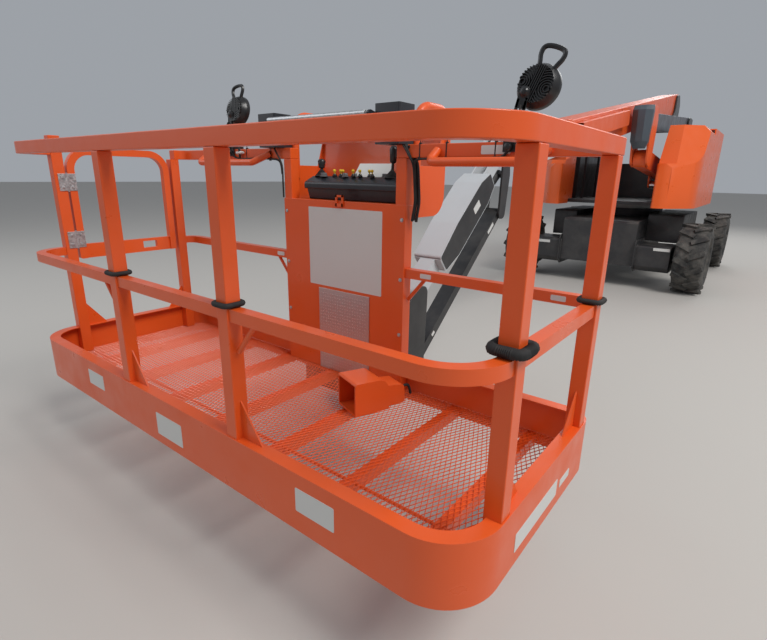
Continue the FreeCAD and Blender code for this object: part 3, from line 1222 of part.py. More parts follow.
def foot_switch():
    """The foot switch on the floor: a hood for the boot in front and a low body behind."""
    z = 0
    x, y, turn = SWITCH_AT
    hood_form = side_plate([(-130, z, 0), (30, z, 0), (30, z + 100, 20), (0, z + 138, 30), (-130, z + 142, 12)], -74, 74)
    body = side_plate([(20, z, 0), (125, z, 12), (118, z + 84, 18), (20, z + 96, 0)], -52, 52)
    mouth = side_plate([(-140, z + 10, 0), (10, z + 10, 0), (8, z + 92, 20), (-20, z + 128, 20), (-140, z + 132, 8)],
                       -66, 66)
    pedal = side_plate([(-90, z + 9, 0), (16, z + 9, 0), (16, z + 52, 6)], -40, 40)
    solid = fused([hood_form.cut(mouth), body, pedal])
    solid.rotate(V(0, 0, 0), Z, turn)
    solid.translate(V(BOOM_X + x, REAR_Y + y, PLATFORM_Z + FLOOR_UP + SEAT))
    return solid


def main():
    os.makedirs("parts", exist_ok=True)
    nodes = {
        "chassis_frame": chassis_frame(),
        "front_axle": front_beam(),
        "chassis_boxes": chassis_boxes(),
        "rear_axle": rear_axle(),
        "knuckle_left": knuckle(-1),
        "knuckle_right": knuckle(1),
        "slew_ring": slew_ring(),
        "turntable": turntable(),
        "counterweight": counterweight(),
        "engine": engine(),
        "tanks": tanks(),
        "hood_left": hood(-1),
        "hood_right": hood(1),
        "riser_lower_arm": riser_lower(),
        "riser_knee": riser_knee(),
        "knee_cover": knee_cover(),
        "riser_upper_arm": riser_upper(),
        "upright": upright(),
        "boom_base": boom_base(),
        "boom_fly": boom_fly(),
        "hose_tray": hose_tray(),
        "jib_base": jib_base(),
        "jib_arm": jib_arm(),
        "jib_link": jib_link(),
        "platform_support": platform_support(),
        "platform_tray": tray(),
        "platform_floor": platform_floor(),
        "platform_posts": posts(),
        "top_rail": top_rail(),
        "mid_rails": mid_rails(),
        "hand_guards": hand_guards(),
        "post_rings": post_rings(),
        "console": console(),
        "tread_plate": tread_plate(),
        "side_frames": side_frames(),
        "rotator_ears": rotator_ears(),
        "control_box": control_box(),
        "console_back": console_back(),
        "sensor_boxes": sensor_boxes(),
        "trip_bar": trip_bar(),
        "gate_hinges": gate_hinges(),
        "gate": gate(),
        "work_lamps": work_lamps(),
        "foot_switch": foot_switch(),
    }
    for name, (side, y) in WHEELS.items():
        nodes["tyre_" + name] = tyre(wheel_x(side), y)
        nodes["rim_" + name] = rim(wheel_x(side), y, side)
    for name in CYLINDERS:
        nodes[name + "_cylinder"] = cylinder_barrel(name)
        nodes[name + "_rod"] = cylinder_rod(name)
    for name, shape in nodes.items():
        if not shape.isValid():
            print("not valid:", name)
        shape.exportStep("parts/" + name + ".step")
        box = shape.BoundBox
        print("%-20s %7.4f m3 %2d solids  x %6.0f..%6.0f y %6.0f..%6.0f z %5.0f..%5.0f"
              % (name, shape.Volume / 1e9, len(shape.Solids), box.XMin, box.XMax, box.YMin, box.YMax,
                 box.ZMin, box.ZMax))


main()
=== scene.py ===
# %% [markdown]
# The looks of an articulating boom lift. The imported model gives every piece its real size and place, and
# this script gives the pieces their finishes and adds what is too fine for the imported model: the open
# steel floor, the lamps' fins, the controls, the cables and the blank plates. Distances are in metres, X is
# the machine's width, and the platform is at low Y.

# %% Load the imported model
import json
import math

import bmesh
import bpy
from mathutils import Matrix, Vector


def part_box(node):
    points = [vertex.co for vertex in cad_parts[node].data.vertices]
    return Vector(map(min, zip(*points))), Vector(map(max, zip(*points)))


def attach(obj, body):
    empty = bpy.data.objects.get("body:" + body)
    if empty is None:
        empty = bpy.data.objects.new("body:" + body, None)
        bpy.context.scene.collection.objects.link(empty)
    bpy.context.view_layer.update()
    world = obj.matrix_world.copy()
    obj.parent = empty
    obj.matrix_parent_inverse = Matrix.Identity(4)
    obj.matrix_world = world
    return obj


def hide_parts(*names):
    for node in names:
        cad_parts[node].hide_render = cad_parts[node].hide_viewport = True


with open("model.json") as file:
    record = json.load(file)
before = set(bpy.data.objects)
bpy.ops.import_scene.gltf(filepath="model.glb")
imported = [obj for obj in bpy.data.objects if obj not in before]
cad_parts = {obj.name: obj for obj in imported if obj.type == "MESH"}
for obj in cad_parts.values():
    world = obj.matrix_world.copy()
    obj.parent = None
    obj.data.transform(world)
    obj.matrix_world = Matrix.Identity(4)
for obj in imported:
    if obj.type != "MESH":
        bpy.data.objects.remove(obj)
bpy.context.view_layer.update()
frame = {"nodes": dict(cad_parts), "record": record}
NODES = frame["nodes"]
BODY_OF = {node: body for body, nodes in frame["record"]["behaviour"]["bodies"].items() for node in nodes}

# %% [markdown]
# The camera stands close in front of the platform's right half and looks across it to the left. It could
# be matched by eye, but the platform is a rectangle of known size, and the way its edges run together in
# the photo gives the camera's place, turns and lens. The place is kept from the platform's front edge.

# %% The camera
TRAY_LOW, TRAY_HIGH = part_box("platform_tray")
PLATFORM_MID = Vector(((TRAY_LOW.x + TRAY_HIGH.x) / 2, TRAY_LOW.y, TRAY_LOW.z))
CAMERA_FROM_PLATFORM = Vector((1.583, -0.779, 0.987))
CAMERA_YAW, CAMERA_PITCH, CAMERA_ROLL = (math.radians(a) for a in (37.71, 16.66, -0.95))
CAMERA_LENS = 22.84
CAMERA_REACH = 200


def add_camera():
    """Look along the photo's line of sight: turned left, tipped down, and rolled a little."""
    turn = (Matrix.Rotation(CAMERA_YAW, 3, "Z") @ Matrix.Rotation(-CAMERA_PITCH, 3, "X")
            @ Matrix.Rotation(CAMERA_ROLL, 3, "Y"))
    right, forward, up = turn @ Vector((1, 0, 0)), turn @ Vector((0, 1, 0)), turn @ Vector((0, 0, 1))
    data = bpy.data.cameras.new("camera")
    data.lens = CAMERA_LENS
    data.clip_end = CAMERA_REACH
    camera = bpy.data.objects.new("camera", data)
    camera.matrix_world = Matrix((right, up, -forward)).transposed().to_4x4()
    camera.location = CAMERA_FROM_PLATFORM + PLATFORM_MID
    bpy.context.scene.collection.objects.link(camera)
    bpy.context.scene.camera = camera
    return camera


camera = add_camera()
bpy.context.scene.view_settings.view_transform = "Standard"
print("camera at", tuple(round(v, 3) for v in camera.location))

# %% [markdown]
# Every finish on the machine is a small node tree. A helper keeps them short: it makes the shader and lets
# a finish ask for a noise, a mix or a bump in one line each. The noises are read in object coordinates, so
# the pattern stays on a piece while it moves.


# %% Helpers for finishes
class Finish:
    """A material under construction, with short ways to add the nodes that a finish needs."""

    def __init__(self, name, colour, roughness, metallic=0.0, coat=0.0):
        self.material = bpy.data.materials.new(name)
        self.material.use_nodes = True
        self.tree = self.material.node_tree
        self.shader = self.tree.nodes["Principled BSDF"]
        settings = {"Base Color": (*colour, 1), "Roughness": roughness, "Metallic": metallic,
                    "Coat Weight": coat, "Coat Roughness": 0.08}
        for socket, value in settings.items():
            self.shader.inputs[socket].default_value = value
        self.place = self.tree.nodes.new("ShaderNodeTexCoord").outputs["Object"]

    def node(self, kind, **inputs):
        made = self.tree.nodes.new(kind)
        for name, value in inputs.items():
            self.feed(made.inputs[name.replace("_", " ")], value)
        return made

    def feed(self, socket, value):
        if isinstance(value, bpy.types.NodeSocket):
            self.tree.links.new(value, socket)
        else:
            socket.default_value = value

    def noise(self, scale, detail=3.0, roughness=0.5, stretch=None):
        place = self.place
        if stretch:
            place = self.node("ShaderNodeMapping", Vector=self.place, Scale=stretch).outputs["Vector"]
        return self.node("ShaderNodeTexNoise", Vector=place, Scale=scale, Detail=detail,
                         Roughness=roughness).outputs["Fac"]

    def spread(self, value, low, high, to_low=0.0, to_high=1.0):
        """Stretch the values from low to high over another range."""
        return self.node("ShaderNodeMapRange", Value=value, From_Min=low, From_Max=high, To_Min=to_low,
                         To_Max=to_high).outputs["Result"]

    def mix(self, factor, first, second):
        """A colour between two colours; each is a colour or another node's output."""
        made = self.tree.nodes.new("ShaderNodeMix")
        made.data_type = "RGBA"
        self.feed(made.inputs["Factor"], factor)
        for name, value in (("A", first), ("B", second)):
            socket = next(s for s in made.inputs if s.name == name and s.type == "RGBA")
            self.feed(socket, value if isinstance(value, bpy.types.NodeSocket) else (*value, 1))
        return next(s for s in made.outputs if s.type == "RGBA")

    def times(self, first, second):
        made = self.tree.nodes.new("ShaderNodeMath")
        made.operation = "MULTIPLY"
        self.feed(made.inputs[0], first)
        self.feed(made.inputs[1], second)
        return made.outputs["Value"]

    def upward(self):
        """How far a surface faces up, where dust settles."""
        normal = self.node("ShaderNodeNewGeometry").outputs["Normal"]
        return self.node("ShaderNodeSeparateXYZ", Vector=normal).outputs["Z"]

    def bump(self, height, strength, distance):
        made = self.node("ShaderNodeBump", Height=height, Strength=strength, Distance=distance)
        self.tree.links.new(made.outputs["Normal"], self.shader.inputs["Normal"])

    def colour(self, socket):
        self.tree.links.new(socket, self.shader.inputs["Base Color"])

    def rough(self, socket):
        self.tree.links.new(socket, self.shader.inputs["Roughness"])


# %% [markdown]
# The machine is sprayed bright orange. Its fly section and jib are pale silver, two covers are blue-grey,
# and the chassis, turntable and brackets are satin black. One flat colour would look like plastic, so the
# enamel drifts a little in colour and gloss, has fine orange peel, and takes dust on faces that look up.

# %% The paints
DUST = (0.36, 0.33, 0.29)
ORANGE_PEEL = 0.05


def paint(name, colour, roughness, coat, dust, fade):
    """Sprayed enamel; fade is how far its colour drifts, and dust how much of it is hidden at most."""
    finish = Finish(name, colour, roughness, coat=coat)
    darker = tuple(c * (1 - fade) for c in colour)
    lighter = tuple(min(1, c * (1 + fade) + 0.01) for c in colour)
    base = finish.mix(finish.noise(1.7, 4), darker, lighter)
    grime = finish.times(finish.spread(finish.noise(5.5, 6, 0.65), 0.42, 0.75),
                         finish.spread(finish.upward(), 0.2, 1.0, 0.25, 1.0))
    finish.colour(finish.mix(finish.times(grime, dust), base, DUST))
    finish.rough(finish.spread(finish.noise(9, 5), 0.3, 0.75, roughness * 0.8, roughness * 1.5))
    finish.bump(finish.noise(420, 2), ORANGE_PEEL, 0.0006)
    return finish.material


ORANGE = paint("orange_enamel", (0.74, 0.092, 0.008), roughness=0.34, coat=0.15, dust=0.03, fade=0.07)
HOOD_ORANGE = paint("orange_moulding", (0.78, 0.110, 0.009), roughness=0.32, coat=0.2, dust=0.02, fade=0.04)
SILVER = paint("silver_enamel", (0.50, 0.52, 0.54), roughness=0.34, coat=0.3, dust=0.16, fade=0.06)
CHASSIS_BLACK = paint("chassis_black", (0.018, 0.018, 0.020), roughness=0.46, coat=0.1, dust=0.30, fade=0.2)
BRACKET_BLACK = paint("bracket_black", (0.014, 0.014, 0.016), roughness=0.38, coat=0.2, dust=0.16, fade=0.2)
COVER_GREY = paint("cover_grey", (0.055, 0.072, 0.092), roughness=0.42, coat=0.15, dust=0.14, fade=0.12)
RIM_GREY = paint("rim_grey", (0.16, 0.165, 0.17), roughness=0.45, coat=0.1, dust=0.35, fade=0.15)
print("paints", len(bpy.data.materials))

# %% [markdown]
# Bare metal, rubber and plastic. Turned metal, such as the cylinders' chrome rods, gets a noise drawn out
# along one axis, which reads as turning marks. Zinc plate has pale crystals, which are the cells of a
# Voronoi texture. Rubber is dull and dusty, and moulded plastic has a fine leather-like grain.


# %% Metals, rubber and plastics
def machined(name, colour, roughness):
    """Bare or plated steel, with fine turning marks."""
    finish = Finish(name, colour, roughness, metallic=1.0)
    marks = finish.noise(60, 4, 0.6, (1, 1, 12))
    finish.rough(finish.spread(marks, 0.3, 0.7, roughness * 0.7, roughness * 1.5))
    finish.bump(finish.noise(900, 2, 0.5, (1, 1, 8)), 0.04, 0.0004)
    return finish.material


def galvanised(name, colour, dark, pale):
    """Zinc plate with its pale crystal pattern."""
    finish = Finish(name, colour, 0.38, metallic=0.9)
    crystals = finish.node("ShaderNodeTexVoronoi", Vector=finish.place, Scale=140.0).outputs["Color"]
    shade = finish.node("ShaderNodeRGBToBW", Color=crystals).outputs["Val"]
    finish.colour(finish.mix(shade, dark, pale))
    finish.rough(finish.spread(shade, 0, 1, 0.3, 0.5))
    return finish.material


def rubber(name, colour, grain, dust):
    """Black rubber, dull, greyer where it is dusty."""
    finish = Finish(name, colour, 0.78)
    grime = finish.spread(finish.noise(7, 6, 0.7), 0.4, 0.8)
    finish.colour(finish.mix(finish.times(grime, dust), colour, DUST))
    finish.bump(finish.noise(grain, 4), 0.25, 0.0012)
    return finish.material


def moulded(name, colour, roughness, grain=700):
    """Moulded plastic with a fine grain."""
    finish = Finish(name, colour, roughness)
    finish.rough(finish.spread(finish.noise(14, 4), 0.3, 0.7, roughness * 0.85, roughness * 1.2))
    finish.bump(finish.noise(grain, 3), 0.12, 0.0005)
    return finish.material


BEARING_STEEL = machined("bearing_steel", (0.30, 0.29, 0.28), 0.42)
CHROME = machined("ram_chrome", (0.82, 0.83, 0.85), 0.10)
ZINC = galvanised("galvanised_zinc", (0.55, 0.56, 0.57), dark=(0.42, 0.43, 0.44), pale=(0.66, 0.67, 0.68))
TREAD_STEEL = machined("tread_steel", (0.56, 0.56, 0.57), 0.34)
TYRE_RUBBER = rubber("tyre_rubber", (0.022, 0.022, 0.022), grain=220, dust=0.42)
HOSE_RUBBER = rubber("hose_rubber", (0.012, 0.012, 0.013), grain=500, dust=0.08)
CONTROL_PLASTIC = moulded("control_plastic", (0.018, 0.020, 0.025), 0.34)
LAMP_PLASTIC = moulded("lamp_plastic", (0.014, 0.014, 0.015), 0.30)
print("finishes", len(bpy.data.materials))

# %% [markdown]
# Every piece goes through the same steps: its mesh is made, rides on a body, and is shaded
# smooth except across its sharp edges. Real steel and mouldings are never knife-sharp, and a narrow bevel
# that catches the light makes a piece look solid.


# %% Finish a piece
def shade_by_angle(mesh, degrees):
    """Smooth shading that keeps the edges sharper than an angle."""
    mesh.shade_smooth()
    bm = bmesh.new()
    bm.from_mesh(mesh)
    limit = math.radians(degrees)
    for edge in bm.edges:
        edge.smooth = len(edge.link_faces) == 2 and edge.calc_face_angle(0) < limit
    bm.to_mesh(mesh)
    bm.free()


def finish_mesh(name, bm, material, body, angle=32):
    """Turn a bmesh into a piece of the machine, on a body and in a finish."""
    mesh = bpy.data.meshes.new(name)
    bm.to_mesh(mesh)
    bm.free()
    mesh.materials.append(material)
    piece = bpy.data.objects.new(name, mesh)
    bpy.context.scene.collection.objects.link(piece)
    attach(piece, body)
    shade_by_angle(mesh, angle)
    return piece


def round_edges(piece, width, segments=2, angle=32):
    """A narrow bevel on the edges that turn sharply."""
    rounding = piece.modifiers.new("rounded_edges", "BEVEL")
    rounding.width = width
    rounding.segments = segments
    rounding.limit_method = "ANGLE"
    rounding.angle_limit = math.radians(angle)
    rounding.harden_normals = True
    return piece


# %% [markdown]
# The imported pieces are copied, their corners are merged and their flat triangles are joined into larger
# faces, because a bevel needs real edges to work on. The table gives each piece its finish and the size of
# its rounded edges: small on thin rails, larger on castings, and largest on the moulded hoods.

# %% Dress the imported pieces
CAD_MERGE = 1e-5
FLAT = math.radians(0.6)
DRESSES = [
    # finish, edge radius, pieces
    (CHASSIS_BLACK, 0.006, ["chassis_frame", "front_axle", "chassis_boxes", "rear_axle", "knuckle_left",
                            "knuckle_right"]),
    (BRACKET_BLACK, 0.004, ["turntable", "counterweight", "engine", "tanks", "upright", "jib_base",
                            "platform_support", "rotator_ears"]),
    (BEARING_STEEL, 0.004, ["slew_ring"]),
    (ORANGE, 0.005, ["riser_lower_arm", "riser_knee", "boom_base", "hose_tray"]),
    (ORANGE, 0.003, ["platform_tray", "platform_posts", "top_rail", "mid_rails", "console", "foot_switch",
                     "gate"]),
    (ORANGE, 0.001, ["hand_guards", "side_frames", "console_back"]),
    (HOOD_ORANGE, 0.012, ["hood_left", "hood_right"]),
    (COVER_GREY, 0.010, ["knee_cover", "riser_upper_arm"]),
    (SILVER, 0.006, ["boom_fly", "jib_arm"]),
    (BRACKET_BLACK, 0.003, ["jib_link", "riser_cylinder", "boom_cylinder", "jib_cylinder"]),
    (CHROME, 0.001, ["riser_rod", "boom_rod", "jib_rod"]),
    (CONTROL_PLASTIC, 0.005, ["control_box", "sensor_boxes"]),
    (ZINC, 0.001, ["trip_bar", "gate_hinges"]),
    (TREAD_STEEL, 0.001, ["tread_plate"]),
    (TYRE_RUBBER, 0.004, ["tyre_front_left", "tyre_front_right", "tyre_rear_left", "tyre_rear_right"]),
    (RIM_GREY, 0.003, ["rim_front_left", "rim_front_right", "rim_rear_left", "rim_rear_right"]),
]


def packed_form(node):
    """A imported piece's form, with its corners merged."""
    bm = bmesh.new()
    bm.from_mesh(NODES[node].data)
    bmesh.ops.remove_doubles(bm, verts=bm.verts, dist=CAD_MERGE)
    return bm


def dress(node, material, radius):
    """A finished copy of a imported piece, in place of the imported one."""
    bm = packed_form(node)
    bmesh.ops.dissolve_limit(bm, angle_limit=FLAT, verts=bm.verts, edges=bm.edges)
    piece = finish_mesh(node + "_look", bm, material, BODY_OF[node])
    round_edges(piece, radius)
    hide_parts(node)


for finish, radius, nodes in DRESSES:
    for node in nodes:
        dress(node, finish, radius)
print("dressed", sum(len(nodes) for _, _, nodes in DRESSES), "pieces")

# %% [markdown]
# The jib is silver above, and both its sides get dark skins: partly the sides' dark paint, and partly painted
# shade over the deep lower part of each side, where the jib is open and its cylinder lies in shadow. The
# imported arm already holds its outline, so its outermost side faces are copied, drawn in a little from their
# edges and thickened by a fraction of a millimetre. The skins are flat, so they get no smooth shading.

# %% The jib's dark sides
SKIN, SKIN_INSET = 0.0006, 0.005
ON_THE_SIDE = 0.0005


def side_skins(node, name, material):
    """Thin skins over a piece's two outermost side faces."""
    bm = packed_form(node)
    low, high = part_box(node)
    others = [f for f in bm.faces if abs(f.normal.x) < 0.99
              or min(abs(f.calc_center_median().x - x) for x in (low.x, high.x)) > ON_THE_SIDE]
    bmesh.ops.delete(bm, geom=others, context="FACES")
    rims = bmesh.ops.inset_region(bm, faces=bm.faces[:], thickness=SKIN_INSET, use_boundary=True,
                                  use_even_offset=True)
    bmesh.ops.delete(bm, geom=rims["faces"], context="FACES")
    bmesh.ops.dissolve_limit(bm, angle_limit=0.01, verts=bm.verts, edges=bm.edges)
    bmesh.ops.recalc_face_normals(bm, faces=bm.faces)
    for face in bm.faces:
        outwards = 1 if face.calc_center_median().x > (low.x + high.x) / 2 else -1
        if face.normal.x * outwards < 0:
            face.normal_flip()
    bm.normal_update()
    bmesh.ops.solidify(bm, geom=bm.faces[:], thickness=-SKIN)
    bmesh.ops.recalc_face_normals(bm, faces=bm.faces)
    return finish_mesh(name, bm, material, BODY_OF[node], angle=0)


# Dark skins on the jib's sides: partly the sides' dark paint, partly painted shade of the open side where the
# cylinder lies in shadow.
paint_and_shade_skins = side_skins("jib_arm", "jib_sides_paint_and_shade", BRACKET_BLACK)
print("jib sides", len(paint_and_shade_skins.data.polygons), "faces")

# %% [markdown]
# Small parts are built from three simple forms. A block is a cube that is scaled to its place. A turned
# shape, such as a knob or a bolt, is half a profile spun once round its axis. A cable or a bent bar is a
# round section swept along a smooth curve, which stays even in a bend where a chain of short cylinders
# would break.


# %% Forms for small parts
def add_shape(bm, shape, place=None):
    """Move a finished shape to its place and add it to a bmesh."""
    if place is not None:
        shape.transform(place)
    mesh = bpy.data.meshes.new("shape")
    shape.to_mesh(mesh)
    shape.free()
    bm.from_mesh(mesh)
    bpy.data.meshes.remove(mesh)


def add_box(bm, low, high, turn=None):
    """Add a block from its lowest to its highest corner; turn is a matrix about its middle."""
    low, high = Vector(low), Vector(high)
    turn = (turn or Matrix.Identity(3)).to_4x4()
    matrix = Matrix.Translation((low + high) / 2) @ turn @ Matrix.Diagonal((*(high - low), 1))
    bmesh.ops.create_cube(bm, size=1, matrix=matrix)


def add_turned(bm, base, along, profile, steps=24):
    """Spin a profile about the line that leaves base along a direction: (distance, radius) rows."""
    shape = bmesh.new()
    rows = [(profile[0][0], 0.0), *profile, (profile[-1][0], 0.0)]
    line = [shape.verts.new((radius, 0, reach)) for reach, radius in rows]
    edges = [shape.edges.new(pair) for pair in zip(line, line[1:])]
    bmesh.ops.spin(shape, geom=line + edges, cent=(0, 0, 0), axis=(0, 0, 1), angle=2 * math.pi, steps=steps,
                   use_merge=True)
    bmesh.ops.remove_doubles(shape, verts=shape.verts, dist=1e-6)
    bmesh.ops.recalc_face_normals(shape, faces=shape.faces)
    turn = Vector(along).normalized().to_track_quat("Z", "Y").to_matrix().to_4x4()
    add_shape(bm, shape, Matrix.Translation(Vector(base)) @ turn)


def add_tube(bm, points, radius, closed=False, swell=None):
    """Sweep a round section along a smooth curve; swell gives each point its own share of the radius."""
    curve = bpy.data.curves.new("route", "CURVE")
    curve.dimensions = "3D"
    curve.bevel_depth = radius
    curve.bevel_resolution = 2
    curve.resolution_u = 5
    curve.use_fill_caps = True
    spline = curve.splines.new("POLY" if swell else "NURBS")
    spline.points.add(len(points) - 1)
    for i, (knot, spot) in enumerate(zip(spline.points, points)):
        knot.co = (*spot, 1)
        knot.radius = swell[i] if swell else 1
    if not swell:
        spline.order_u = 3
        spline.use_endpoint_u = True
    spline.use_cyclic_u = closed
    holder = bpy.data.objects.new("route", curve)
    mesh = bpy.data.meshes.new_from_object(holder)
    bpy.data.objects.remove(holder)
    shape = bmesh.new()
    shape.from_mesh(mesh)
    bpy.data.meshes.remove(mesh)
    bmesh.ops.remove_doubles(shape, verts=shape.verts, dist=1e-6)
    bmesh.ops.recalc_face_normals(shape, faces=shape.faces)
    add_shape(bm, shape)


def trim(bm, planes):
    """Cut a bmesh off outside each plane: a point on it, and the way that faces out."""
    for point, outwards in planes:
        bmesh.ops.bisect_plane(bm, geom=bm.verts[:] + bm.edges[:] + bm.faces[:], plane_co=point,
                               plane_no=outwards, clear_outer=True)


# %% [markdown]
# The platform's floor is open expanded steel on seven cross members, with a round bar under it near the
# front. Expanded steel is a sheet that is slit and pulled open, so it is a lattice of long diamonds.

# %% The floor's measures
FLOOR_LOW, FLOOR_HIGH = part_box("platform_floor")
DIAMOND = (0.0186, 0.039)
STRAND = 0.0042
CORNER_FRONT, CORNER_REAR = 0.166, 0.086
MEMBER_W, MEMBER_IN, MEMBERS = 0.036, 0.200, 7
STIFFENER_Y, STIFFENER_IN, STIFFENER_R = 0.225, 0.01, 0.006
print("floor", round(FLOOR_HIGH.x - FLOOR_LOW.x, 3), "by", round(FLOOR_HIGH.y - FLOOR_LOW.y, 3))

# %% [markdown]
# Thousands of strands placed one by one would be slow, and an image with holes has no body. A grid of
# squares, sheared into diamonds and cut to the floor's rounded outline, has the lattice as its edges, and
# the wireframe operator gives every edge the body of a strand.


# %% The floor mesh
def floor_outline():
    """Planes round the floor: its four sides, and five to each rounded corner."""
    planes = [(FLOOR_LOW, (-1, 0, 0)), (FLOOR_HIGH, (1, 0, 0)), (FLOOR_LOW, (0, -1, 0)),
              (FLOOR_HIGH, (0, 1, 0))]
    for end_x, way_x in ((FLOOR_LOW.x, -1), (FLOOR_HIGH.x, 1)):
        for end_y, way_y, radius in ((FLOOR_LOW.y, -1, CORNER_FRONT), (FLOOR_HIGH.y, 1, CORNER_REAR)):
            middle = Vector((end_x - way_x * radius, end_y - way_y * radius, 0))
            for degrees in (15, 30, 45, 60, 75):
                angle = math.radians(degrees)
                outwards = Vector((way_x * math.cos(angle), way_y * math.sin(angle), 0))
                planes.append((middle + outwards * radius, outwards))
    return planes


def floor_mesh():
    """Strands along the edges of a diamond lattice, on cross members."""
    bm = bmesh.new()
    middle, size = (FLOOR_LOW + FLOOR_HIGH) / 2, FLOOR_HIGH - FLOOR_LOW
    half_x, half_y = DIAMOND[0] / 2, DIAMOND[1] / 2
    cells = math.ceil(size.x / DIAMOND[0] + size.y / DIAMOND[1]) + 2
    top = FLOOR_HIGH.z - STRAND / 2
    lattice = Matrix(((half_x, half_x, 0, middle.x), (-half_y, half_y, 0, middle.y), (0, 0, 1, top),
                      (0, 0, 0, 1)))
    bmesh.ops.create_grid(bm, x_segments=cells, y_segments=cells, size=cells / 2, matrix=lattice)
    trim(bm, floor_outline())
    bmesh.ops.wireframe(bm, faces=bm.faces[:], thickness=STRAND, use_replace=True, use_boundary=True)
    first, last = FLOOR_LOW.x + MEMBER_IN, FLOOR_HIGH.x - MEMBER_IN
    for i in range(MEMBERS):
        x = first + i * (last - first) / (MEMBERS - 1)
        add_box(bm, (x - MEMBER_W / 2, FLOOR_LOW.y, FLOOR_LOW.z),
                (x + MEMBER_W / 2, FLOOR_HIGH.y, top - STRAND))
    bar_end = Vector((FLOOR_LOW.x + STIFFENER_IN, FLOOR_LOW.y + STIFFENER_Y, top - STRAND / 2 - STIFFENER_R))
    add_turned(bm, bar_end, (1, 0, 0), [(0, STIFFENER_R), (size.x - 2 * STIFFENER_IN, STIFFENER_R)], 10)
    piece = finish_mesh("floor_mesh", bm, ORANGE, "platform", 40)
    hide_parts("platform_floor")
    return piece


floor = floor_mesh()
print("floor mesh", len(floor.data.polygons), "faces")

# %% [markdown]
# Black ribbed sleeves sit round four of the posts at the mid rail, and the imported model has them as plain
# rings. Each is one tube, swept round its post along a squared circle, that swells and narrows in turn from
# point to point. Separate small rings would leave gaps between them.

# %% Post sleeves
SLEEVE_RIB = 0.0052
SLEEVE_VALLEY = 0.84
SQUARED_POWER = 5


def islands(bm):
    """The separate pieces of a bmesh, each as a list of places."""
    left, found = set(bm.verts), []
    while left:
        seed = left.pop()
        group, front = [seed], [seed]
        while front:
            vert = front.pop()
            for other in (edge.other_vert(vert) for edge in vert.link_edges):
                if other in left:
                    left.remove(other)
                    group.append(other)
                    front.append(other)
        found.append([v.co.copy() for v in group])
    bm.free()
    return found


def sleeve_route(middle, half, ribs):
    """Points along a squared circle round a post, two to a rib."""
    route = []
    for i in range(2 * ribs):
        across, along = math.cos(math.pi * i / ribs), math.sin(math.pi * i / ribs)
        squared = (abs(across) ** SQUARED_POWER + abs(along) ** SQUARED_POWER) ** (-1 / SQUARED_POWER)
        route.append(middle + Vector((across, along, 0)) * half * squared)
    return route


def post_sleeves():
    """One ribbed tube in the place of each packed ring."""
    bm = bmesh.new()
    for solid in islands(packed_form("post_rings")):
        xs, ys, zs = zip(*[spot[:] for spot in solid])
        middle = Vector(((min(xs) + max(xs)) / 2, (min(ys) + max(ys)) / 2, (min(zs) + max(zs)) / 2))
        radius = (max(zs) - min(zs)) / 2 - 0.001
        half = (max(xs) - min(xs)) / 2 - radius - 0.0005
        ribs = round(7.2 * half / SLEEVE_RIB)
        add_tube(bm, sleeve_route(middle, half, ribs), radius, closed=True, swell=[1.0, SLEEVE_VALLEY] * ribs)
    piece = finish_mesh("post_sleeves", bm, HOSE_RUBBER, "platform", 70)
    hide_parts("post_rings")
    return piece


sleeves = post_sleeves()
print("post sleeves", len(sleeves.data.polygons), "faces")

# %% [markdown]
# The kick plate at the console's foot is tread steel with short raised bars, set in turn one way and the
# other. Each bar is the plainest icosphere, flattened and drawn out: at twenty faces, a plateful is light.

# %% The kick plate's bars
BAR_PITCH, BAR_EDGE = 0.0155, 0.006
BAR_LENGTH, BAR_WIDTH, BAR_HEIGHT = 0.0105, 0.0022, 0.0011


def tread_bars():
    """The raised bars of the kick plate, in a chequered pattern."""
    low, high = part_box("tread_plate")
    bm = bmesh.new()
    columns, rows = (int((room - 2 * BAR_EDGE) / BAR_PITCH) for room in (high.x - low.x, high.z - low.z))
    size = Matrix.Diagonal((BAR_LENGTH / 2, BAR_HEIGHT, BAR_WIDTH, 1))
    for i in range(columns):
        for j in range(rows):
            across, up = (BAR_EDGE + (step + 0.5) * BAR_PITCH for step in (i, j))
            turn = Matrix.Rotation(math.radians(45 if (i + j) % 2 else -45), 4, "Y")
            place = Matrix.Translation((low.x + across, low.y, low.z + up)) @ turn @ size
            bmesh.ops.create_icosphere(bm, subdivisions=1, radius=1, matrix=place)
    finish_mesh("tread_bars", bm, TREAD_STEEL, "platform", 80)
    return columns * rows


print("tread bars", tread_bars())

# %% [markdown]
# Plates and stickers are all blank and pale. Each is a thin box, flush on its surface, and a bevel of its
# short edges rounds its four corners. The rows name the surface that a plate lies on.

